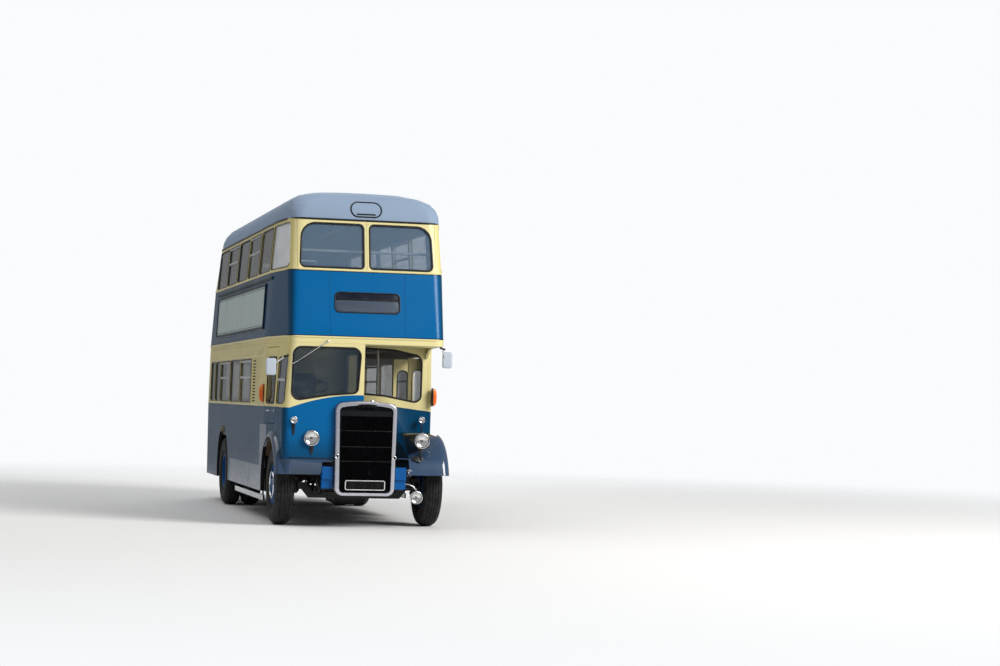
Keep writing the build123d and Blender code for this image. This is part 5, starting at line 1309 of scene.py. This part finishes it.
# Route display: two plain linen blinds behind the glass of a box in the upper front, dark above and slate
# below. A rounded rubber frame and a flat flange hold it in the panel.
blind = Finish("route_blind", Metallic=0.0, Specular_IOR_Level=0.2)
weave = blind.noise(300, 2)
linen = blind.mix(blind.along()[2].step(2.915, 2.918), (0.062, 0.083, 0.120), (0.003, 0.006, 0.018))
blind.set("Base Color", blind.mix(blind.noise(6, 4).step(0.4, 0.8) * 0.2, linen, (0.09, 0.12, 0.16)))
blind.set("Roughness", 0.35 + weave * 0.25)
blind.relief(weave, 0.0004, 0.4)
paint_node("destination_box", blind)
blinds, surround, flange = Sheets(), Sheets(), Sheets()
for foot, top, radius in ((2.925, 3.000, 0.030), (2.768, 2.910, 0.040)):
    path, out = on_end(front_y, -1, rounded(oblong(-0.408, 0.408, foot, top, radius)), -0.006)
    blinds.plate(path, out[0], 0.003, 0.001)
path, out = on_end(front_y, -1, rounded(oblong(-0.420, 0.420, 2.755, 3.007, 0.055)))
frame_section = [(-0.006, -0.006), (0.010, -0.006), (0.010, 0.005), (0.004, 0.008), (-0.004, 0.006)]
surround.strip(path, out, frame_section)
surround.tube(on_end(front_y, -1, np.linspace((-0.408, 2.9175), (0.408, 2.9175), 3), -0.002)[0], 0.0075, 10)
flange.strip(path, out, [(0.004, -0.004), (0.036, -0.004), (0.036, 0.0006), (0.004, 0.0010)])
flange.made("display_flange", "root", "blue_paint", coachwork, 50)
blinds.made("blank_blinds", "root", "black_rubber", blind, 50)
surround.made("display_surround", "root", "black_rubber", rubber_black, 50)

# Side boards: enamelled steel sheets with a dark edge line, in painted rails that are screwed to the sides,
# under a channel.
BOARD_Y, BOARD_Z = back(4.200), 2.856
CHANNEL = np.array([
    (-0.019, -0.004), (0.019, -0.004), (0.019, 0.017), (0.012, 0.020), (0.006, 0.012), (-0.006, 0.012),
    (-0.012, 0.020), (-0.019, 0.017),
])
RAIL_FOOT_Z, RAIL_TOP_Z = 2.566, 3.146
enamel = Finish("board_enamel", Metallic=0.0)
x, y, z = enamel.along()
streak = enamel.noise(5, 5, 0.6, enamel.stretched(1, 1, 0.15)).step(0.42, 0.75)
from_y, from_z = (y - BOARD_Y).size(), (z - BOARD_Z).size()
edge_y = from_y.step(2.570, 2.574) * from_y.below(2.582, 2.586)
edge_z = from_z.step(0.242, 0.245) * from_z.below(0.252, 0.255)
board = enamel.mix(streak * 0.25, (0.43, 0.53, 0.51), (0.34, 0.39, 0.36))
enamel.set("Base Color", enamel.mix(edge_y.most(edge_z) * 0.9, board, (0.02, 0.035, 0.05)))
enamel.set("Roughness", 0.28 + streak * 0.25)
enamel.relief(enamel.noise(4, 2), 0.003, 0.25)
joined_copy("side_boards", enamel)
rails = Sheets()
for hand in (-1, 1):
    for z, low, high in ((RAIL_FOOT_Z, 1.560, 6.840), (RAIL_TOP_Z, 1.560, 6.840), (3.215, 1.080, 7.000)):
        rails.grid(rail(hand, low, high, z, CHANNEL))
    for y in (back(1.578), back(6.822)):
        path, out = on_side(hand, np.linspace((y, RAIL_FOOT_Z), (y, RAIL_TOP_Z), 12))
        along = np.array((0.0, 1.0, 0.0)) - out * out[:, 1:2]
        rails.grid(path[:, None] + along[:, None] * CHANNEL[:, :1] + out[:, None] * CHANNEL[:, 1:])
frame_green = coach_paint("board_frame", (0.006, 0.022, 0.040), 0.3)
rails.made("board_rails", "root", "polished_alloy", frame_green, 40)

# Wiper: a plated steel arm from a spindle over the windscreen, bent to lie clear of the glass, with a
# rubber blade under it.
SWEEP = np.array([
    (-0.514, 2.377), (-0.600, 2.317), (-0.700, 2.248), (-0.800, 2.179), (-0.900, 2.109), (-0.950, 2.074),
])
SPINDLE = [(-0.010, 0.018), (0.026, 0.018), (0.032, 0.014), (0.036, 0.006)]
wiper = Sheets()
wiper.tube(on_end(front_y, -1, SWEEP, 0.026)[0], np.linspace(0.0070, 0.0045, len(SWEEP)), 8)
wiper.lathe(SPINDLE, (SWEEP[0, 0], CAB_Y, SWEEP[0, 1]), FORWARDS, 24)
wiper.made("wiper_arm", "root", "chrome", chrome, 50)
blade = Sheets()
blade.tube(on_end(front_y, -1, SWEEP[1:] + (0.006, -0.010), 0.012)[0], 0.006, 8)
blade.made("wiper_blade", "root", "black_rubber", rubber_black, 50)

# Mirrors: pressed and painted heads with the glass behind, on plated arms from black brackets that are
# bolted to the body's front corners.
MIRROR_X = 1.219
# The head's section as (lift, share of its size)
HEAD = (
    (0.012, 0.90), (0.012, 0.985), (0.008, 1.0), (-0.002, 1.0), (-0.008, 0.97), (-0.0115, 0.86),
    (-0.012, 0.55),
)


def stacked(outline, centre, out, steps):
    """An outline again and again, at each step lifted along out and drawn in to a share of its size."""
    return np.array([centre + (outline - centre) * size + np.multiply(out, lift) for lift, size in steps])


shell_paint = coach_paint("mirror_shell", (0.50, 0.56, 0.64), 0.25)
silver = Finish("mirror_glass", Metallic=1.0, Roughness=0.04)
foxed = silver.noise(12, 3).step(0.5, 0.8)
silver.set("Base Color", silver.mix(foxed, (0.92, 0.93, 0.93), (0.80, 0.82, 0.82)))
heads, plates, arms, feet = Sheets(), Sheets(), Sheets(), Sheets()
for hand, y, z, foot in (
    (-1, back(0.100), 2.032, np.array((-1.012, back(0.060), 2.180))),
    (1, back(0.740), 2.192, np.array((1.060, back(0.420), 2.340))),
):
    centre = np.array((hand * MIRROR_X, y, z))
    x = centre[0]
    head = at_y(rounded(oblong(x - 0.066, x + 0.066, z - 0.108, z + 0.108, 0.028), 0.02), y)
    heads.grid(stacked(head, centre, BACKWARDS, HEAD))
    plates.plate(centre + (head - centre) * (0.89, 1, 0.93) + (0, 0.010, 0), BACKWARDS, 0.004, 0.001)
    bend = centre + np.array((
        (0, -0.006, 0), (0, 0.018, 0.004), (-hand * 0.008, 0.028, 0.015), (-hand * 0.030, 0.030, 0.030)))
    reach = ((bend[-1] + foot) / 2, foot + (hand * 0.03, 0.004, -0.004))
    arms.tube(np.concatenate((bend, reach)), 0.0085)
    feet.tube(foot + np.array(((hand * 0.05, 0.006, -0.016), (-hand * 0.012, 0, 0.002))), 0.014)
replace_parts(heads.made("mirror_heads", "root", "grey_paint", shell_paint, 60), "mirrors")
plates.made("mirror_plates", "root", "mirror", silver, 50)
arms.made("mirror_arms", "root", "chrome", chrome, 60)
feet.made("mirror_feet", "root", "black_iron", black_iron, 60)

# Flashers: amber domes, taller than wide, moulded with fine prisms, with a painted highlight that makes them
# paler on top. They are screwed to the sides on black rubber bases.
SIDE_X = 1.142
FLASHER_Y, FLASHER_Z = back(1.275), 1.695
# The dome's section as (lift, share of its size)
DOMED = (
    (0.006, 1.0), (0.020, 0.99), (0.036, 0.93), (0.048, 0.82), (0.056, 0.64), (0.0595, 0.40),
    (0.0605, 0.12),
)
amber = Finish("amber_glass", Metallic=0.0, IOR=1.5, Roughness=0.15)
z = amber.along()[2]
# The upper part of each dome is mixed towards a paler amber: a painted highlight.
amber.set("Base Color", amber.mix(z.step(1.70, 1.79) * 0.5, (0.80, 0.13, 0.006), (1.0, 0.36, 0.08)))
amber.relief(z.saw(0.009).within(0.2, 0.8, 0.2), 0.001, 0.5)
domes, bases = Sheets(), Sheets()
a = angles(48)
oval = np.column_stack((np.zeros(48), 0.042 * np.cos(a), 0.078 * np.sign(np.sin(a)) + 0.042 * np.sin(a)))
for hand in (-1, 1):
    centre = np.array((hand * SIDE_X, FLASHER_Y, FLASHER_Z))
    domes.grid(stacked(centre + oval, centre, (hand, 0, 0), DOMED))
    bases.plate(centre + oval * (1, 1.07, 1.035) - (hand * 0.006, 0, 0), (hand, 0, 0), 0.016, 0.003)
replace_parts(domes.made("flasher_domes", "root", "orange_plastic", amber, 60), "flashers")
bases.made("flasher_bases", "root", "black_rubber", rubber_black, 50)

# Doors and the emergency window: rubber round their lights, thin panes, and plated handles and hinges, each
# riding on its own door.
LEAVES = (
    ("leaf_fore_outer", -2.4645), ("leaf_fore_inner", -2.4325), ("leaf_aft_outer", -1.4265),
    ("leaf_aft_inner", -1.4585),
)
LIGHT_X, LIGHT_HALF, LIGHT_FOOT, LIGHT_TOP = 0.96975, 0.07825, 1.010, 2.060
LEAF_RUBBER = [
    (-0.006, -0.0145), (0.006, -0.0145), (0.007, 0.0), (0.006, 0.0145), (-0.006, 0.0145), (-0.007, 0.0),
]
trims = {}


def on_body(body, kind):
    """The sheets of one kind of trim that ride on one body."""
    return trims.setdefault((body, kind), Sheets())


light = rounded(pane(0.575, 1.045, LOWER_SILL, LOWER_HEAD))
on_body("cab_door", "rubber").strip(*on_side(-1, light), GASKET)
path, out = on_side(-1, rounded(pane(0.577, 1.043, 1.567, 2.163, 0.043)), -0.022)
on_body("cab_door", "pane").plate(path, out[len(out) // 2], 0.005, 0.001)
handle = [(0.900, 0.0), (0.900, 0.030), (0.870, 0.036), (0.800, 0.036), (0.770, 0.030), (0.770, 0.0)]
handle = [(-side_x(back(distance), 1.470) - lift, back(distance), 1.470) for distance, lift in handle]
on_body("cab_door", "plated").tube(handle, 0.008, 10)
lock = rounded(pane(0.560, 0.600, 1.450, 1.490, 0.01))
on_body("cab_door", "plated").plate(on_side(-1, lock)[0], (-1.0, 0.0, 0.0), 0.004, 0.001)

path = at_y(rounded(oblong(-0.270, 0.270, 1.560, 2.120)), REAR_Y)
on_body("rear_door", "rubber").strip(path, BACKWARDS, GASKET)
on_body("rear_door", "pane").plate(path * (0.985, 1, 1) - (0, 0.024, 0), BACKWARDS, 0.005, 0.001)
handle = [(-0.300, 0.0), (-0.300, 0.009), (-0.285, 0.0108), (-0.215, 0.0108), (-0.200, 0.009)]
on_body("rear_door", "plated").tube([(x, REAR_Y + lift, 1.400) for x, lift in handle], 0.008, 10)
for z in (0.95, 1.50, 2.08):
    hinge = ((0.340, REAR_Y + 0.004, z - 0.05), (0.340, REAR_Y + 0.004, z + 0.05))
    on_body("rear_door", "plated").tube(hinge, 0.007, 10)

light = rounded(oblong(-0.428, 0.428, 3.3714, 3.7186))
on_body("emergency_window", "rubber").strip(*on_end(rear_y, 1, light), GASKET)
path, out = on_end(rear_y, 1, light * (0.995, 1.0), -0.022)
on_body("emergency_window", "pane").plate(path, out[0], 0.005, 0.001)

arch = np.linspace(0, pi, 15)
uprights = np.column_stack((np.full(13, LIGHT_X + LIGHT_HALF), np.linspace(1.03, 1.93, 13)))
light = np.concatenate((
    np.column_stack((np.cos(arch), np.sin(arch))) * LIGHT_HALF + (LIGHT_X, LIGHT_TOP - LIGHT_HALF),
    uprights[::-1] - (2 * LIGHT_HALF, 0),
    np.linspace((LIGHT_X - LIGHT_HALF, LIGHT_FOOT), (LIGHT_X + LIGHT_HALF, LIGHT_FOOT), 6),
    uprights,
))
for body, y in LEAVES:
    path = at_y(light, y + 0.012)
    on_body(body, "rubber").strip(path, BACKWARDS, LEAF_RUBBER)
    on_body(body, "pane").plate(path - (0, 0.002, 0), BACKWARDS, 0.004, 0.001)
FINISHES = {"rubber": ("black_rubber", rubber_black), "pane": ("glass", glass), "plated": ("chrome", chrome)}
for (body, kind), sheets in trims.items():
    sheets.made(body + "_" + kind, body, *FINISHES[kind], 50)

# Sump and exhaust: a ribbed cast-iron sump bolted under the engine, and a steel pipe through a round
# silencer to the nearside, slung from the frame on two straps.
# Each level of the sump as its height and its share of the rim's size
SUMP_LEVELS = (
    (0.402, 1.0), (0.345, 0.99), (0.300, 0.965), (0.262, 0.93), (0.245, 0.88), (0.238, 0.80),
    (0.236, 0.5),
)
SILENCER_X, SILENCER_Z, STRAP_R = 0.600, 0.400, 0.088
# The silencer as (distance along, radius)
SILENCER = [
    (-0.03, 0.030), (0.0, 0.034), (0.02, 0.070), (0.05, 0.082), (0.10, 0.084), (0.90, 0.084),
    (0.95, 0.082), (0.98, 0.070), (1.0, 0.034), (1.03, 0.030),
]
# The pipes as x, distance back and z
DOWN_PIPE = (
    (0.330, 1.95, 0.46), (0.390, 2.15, 0.42), (0.480, 2.40, 0.40), (0.560, 2.70, 0.40),
    (0.600, 2.95, 0.40), (0.600, 3.14, 0.40),
)
TAIL_PIPE = (
    (0.600, 4.17, 0.40), (0.600, 4.30, 0.40), (0.640, 4.45, 0.39), (0.760, 4.56, 0.37),
    (0.920, 4.60, 0.35), (1.060, 4.61, 0.34),
)
cast = under_paint("cast_sump", (0.030, 0.031, 0.033), 0.45, 0.3)
sump = Sheets()
line = rounded([(-0.150, back(1.300), 0.05), (0.300, back(1.300), 0.05), (0.300, back(2.150), 0.07),
                (-0.150, back(2.150), 0.07)])
pan = np.column_stack((line, np.zeros(len(line))))
middle = np.array((0.075, back(1.725), 0.0))
levels = [(z, np.array((size, (1 + size) / 2, 1))) for z, size in SUMP_LEVELS]
sump.grid(stacked(pan, middle, (0, 0, 1), levels))
sump.strip(middle + (pan - middle) * (1.03, 1.02, 1) + (0, 0, 0.392), (0.0, 0.0, 1.0),
           [(-0.012, -0.005), (0.012, -0.005), (0.012, 0.006), (-0.012, 0.006)])
for x in (-0.160, 0.310):
    for y in (1.45, 1.75, 2.05):
        sump.lathe([(0.0, 0.011), (0.010, 0.011), (0.013, 0.008)], (x, back(y), 0.388), (0, 0, -1), 6)
sump.lathe(SILENCER, (SILENCER_X, back(3.150), SILENCER_Z), BACKWARDS, 36)
sump.tube(behind(DOWN_PIPE), 0.028)
sump.tube(behind(TAIL_PIPE), 0.026)
for distance in (3.30, 4.00):
    under = np.linspace(-pi, 0, 13)
    strap = np.column_stack((np.cos(under) * STRAP_R, np.zeros(13), np.sin(under) * STRAP_R))
    strap = np.concatenate(([(-STRAP_R, 0, 0.10)], strap, [(STRAP_R, 0, 0.10)]))
    sump.tube(strap + (SILENCER_X, back(distance), SILENCER_Z), 0.007, 8)
sump.made("sump_and_exhaust", "root", "black_iron", cast, 40)

# Springs and rods: steel shackle plates and U-bolts on the front springs, a track rod, a drag link, a
# starting-handle tube, and black plates that close the step well and the wheel boxes' tops and rear ends.
U_BOLT = ((-0.050, 0.40), (-0.050, 0.525), (-0.040, 0.545), (0.040, 0.545), (0.050, 0.525), (0.050, 0.40))
SPRING_X, BOX_IN, BOX_OUT = 0.490, 1.091, 1.096
# Each plate's two ends from the rear axle, its foot and its top
BOX_PLATES = ((-0.700, 0.700, 1.052, 1.215), (0.556, 0.700, 0.722, 1.050))
# Each rod's two ends and number of points, its radius and its sides
RODS = (
    (((-0.500, 0.300, 0.440), (0.500, 0.300, 0.440), 12), 0.020, 12),
    (((-0.500, 0.230, 0.475), (0.500, 0.230, 0.475), 12), 0.009, 8),
    (((-0.600, 0.960, 0.430), (0.600, 0.960, 0.430), 12), 0.019, 12),
)
ironwork = Sheets()
for x in (-SPRING_X, SPRING_X):
    for distance in (0.200, 1.330):
        pin = (x, back(distance), 0.520)
        for side in (-0.047, 0.047):
            ironwork.lathe([(-0.006, 0.034), (0.006, 0.034), (0.009, 0.030)], pin + np.array((side, 0, 0)),
                           (np.sign(side), 0, 0), 28)
        ironwork.lathe([(-0.060, 0.014), (0.060, 0.014), (0.063, 0.010)], pin, (1, 0, 0), 20)
    for distance in (0.640, 0.772):
        ironwork.tube([(x + across, back(distance), z) for across, z in U_BOLT], 0.009, 8)
for (first, last, count), radius, sides in RODS:
    ironwork.tube(behind(np.linspace(first, last, count)), radius, sides)
ironwork.tube(behind(((0.0, -0.060, 0.452), (0.0, 0.050, 0.452), (0.0, 0.220, 0.452))), 0.019)
ironwork.tube(behind(((-0.560, 0.900, 0.600), (-0.560, 0.985, 0.520), (-0.555, 1.000, 0.440))), 0.022)
for distance in (1.386, 2.520):
    ironwork.box(*behind(((0.585, distance, 0.480), (1.095, distance + 0.006, 0.735))), 0.002)
for hand in (-1, 1):
    for first, last, foot, top in BOX_PLATES:
        low = (hand * BOX_IN, REAR_AXLE_Y + first, foot)
        ironwork.box(low, (hand * BOX_OUT, REAR_AXLE_Y + last, top), 0.001)
ironwork.made("springs_and_rods", "root", "black_iron", black_iron, 50)

# Brake hoses: short lengths of moulded rubber that hang in half waves between the frame and the front axle,
# with one longer hose that runs back along the offside.
# Each hose's x, how far it hangs and how far it bows inwards
HOSES = ((-0.600, 0.17, 0.05), (-0.565, 0.14, 0.08), (-0.530, 0.19, 0.03), (0.560, 0.12, 0.04))
LONG_HOSE = (
    (-0.520, 0.140, 0.60), (-0.600, 0.130, 0.50), (-0.620, 0.160, 0.44), (-0.560, 0.240, 0.41),
    (-0.480, 0.300, 0.44),
)
hoses = Sheets()
a = np.linspace(0, pi, 17)
for x, drop, bow in HOSES:
    sag = np.sin(a)
    hang = np.column_stack((x - np.sign(x) * bow * sag, 0.080 + 0.16 * a / pi, 0.620 - drop * sag))
    hoses.tube(behind(hang), 0.008, 8)
hoses.tube(behind(LONG_HOSE), 0.010, 8)
hoses.made("brake_hoses", "root", "black_rubber", rubber_black, 60)

# Bright fittings: a plated bar to the fog lamp, a horn with a flared and plated trumpet, and the entrance
# step's nosing, which is drawn strip. The bonnet's two handles are plated loops.
HORN = [
    (-0.070, 0.012), (-0.030, 0.013), (0.0, 0.018), (0.020, 0.028), (0.032, 0.042), (0.036, 0.046),
    (0.038, 0.044), (0.032, 0.036), (0.018, 0.022), (0.0, 0.010),
]
FOG_BAR = ((0.545, 0.020, 0.575), (0.600, 0.005, 0.566), (0.655, 0.002, 0.535), (0.688, 0.010, 0.495))
bright = Sheets()
bright.tube(behind(FOG_BAR), 0.0085)
bright.lathe(HORN, (0.585, back(0.060), 0.712), (0.15, -1.0, 0.0), 32)
bright.tube(behind(np.linspace((1.131, 1.440, 0.472), (1.131, 2.480, 0.472), 24)), 0.007, 8)
bright.made("bright_fittings", "root", "chrome", chrome, 60)
LOOP = ((0.397, -0.05), (0.404, -0.045), (0.404, 0.045), (0.397, 0.05))
lid = Sheets()
for y in (-3.70, -2.70):
    lid.tube([(x, y + along, 1.200) for x, along in LOOP], 0.007, 8)
lid.made("bonnet_handles", "bonnet", "chrome", chrome, 50)

# Studio: a plain pale floor that fades out of sight far off, soft lamps and a pale sky, and the camera
# at the photo's own viewpoint. They belong to the picture, and not to the bus.
FLOOR_HALF, FADE_START, FADE_END = 60, 6.0, 21.0
floor_mesh = bpy.data.meshes.new("studio_floor")
corners = [(x * FLOOR_HALF, y * FLOOR_HALF, 0) for x, y in ((-1, -1), (1, -1), (1, 1), (-1, 1))]
floor_mesh.from_pydata(corners, [], [(0, 1, 2, 3)])
studio_floor = bpy.data.objects.new("studio_floor", floor_mesh)
bpy.context.scene.collection.objects.link(studio_floor)
floor_finish = Finish("studio_floor", Roughness=0.9, Base_Color=(0.80, 0.80, 0.80))
x, y, z = floor_finish.along()
floor_finish.set("Alpha", (x * x + y * y).root().below(FADE_START, FADE_END))
floor_mesh.materials.append(floor_finish.material)

# The sky is white to the camera and through glass, and dimmer where the bus mirrors it or is lit by it.
SKY_LIGHT, SKY_SEEN_MORE = 0.25, 0.73
world = bpy.data.worlds.new("studio")
bpy.context.scene.world = world
world.use_nodes = True
sky = world.node_tree
seen = sky.nodes.new("ShaderNodeLightPath")
direct = sky.nodes.new("ShaderNodeMath")
direct.operation = "MAXIMUM"
sky.links.new(seen.outputs["Is Camera Ray"], direct.inputs[0])
sky.links.new(seen.outputs["Is Transmission Ray"], direct.inputs[1])
strength = sky.nodes.new("ShaderNodeMath")
strength.operation = "MULTIPLY_ADD"
sky.links.new(direct.outputs[0], strength.inputs[0])
strength.inputs[1].default_value = SKY_SEEN_MORE
strength.inputs[2].default_value = SKY_LIGHT
background = sky.nodes["Background"]
background.inputs["Color"].default_value = (0.97, 0.985, 1.0, 1)
sky.links.new(strength.outputs[0], background.inputs["Strength"])


def soft_lamp(name, place, aim, size, power, colour=(1, 1, 1)):
    """A square lamp that points at a place."""
    light = bpy.data.lights.new(name, "AREA")
    light.size = size
    light.energy = power
    light.color = colour
    lamp = bpy.data.objects.new(name, light)
    bpy.context.scene.collection.objects.link(lamp)
    lamp.location = place
    lamp.rotation_euler = (Vector(aim) - Vector(place)).to_track_quat("-Z", "Y").to_euler()


soft_lamp("key_lamp", (17, -20, 17), (0, -2, 2), 13, 8800, (1.0, 0.98, 0.95))
soft_lamp("top_lamp", (-7, 2, 18), (0, 0, 0), 16, 1250)
soft_lamp("side_lamp", (-14, 2, 6), (0, 0, 2), 8, 70)
soft_lamp("rear_lamp", (3, 16, 9), (0, 2, 2), 9, 700)

CAMERA_PLACE = (-5.07, -30.8255, 1.663)
YAW, PITCH, ROLL = radians(14.195), radians(1.832), radians(1.446)
FOCAL_LENGTH, FILM_WIDTH = 76.97, 36
forward = Vector((sin(YAW) * cos(PITCH), cos(YAW) * cos(PITCH), sin(PITCH)))
level = Vector((cos(YAW), -sin(YAW), 0))
upright = level.cross(forward)
right = level * cos(ROLL) + upright * sin(ROLL)
top = upright * cos(ROLL) - level * sin(ROLL)
lens = bpy.data.cameras.new("camera")
lens.lens = FOCAL_LENGTH
lens.sensor_width = FILM_WIDTH
lens.clip_end = 300
camera = bpy.data.objects.new("camera", lens)
bpy.context.scene.collection.objects.link(camera)
turned = Matrix((right, top, -forward)).transposed().to_4x4()
camera.matrix_world = Matrix.Translation(CAMERA_PLACE) @ turned
bpy.context.scene.camera = camera
bpy.context.scene.view_settings.view_transform = "Standard"

bpy.context.view_layer.update()
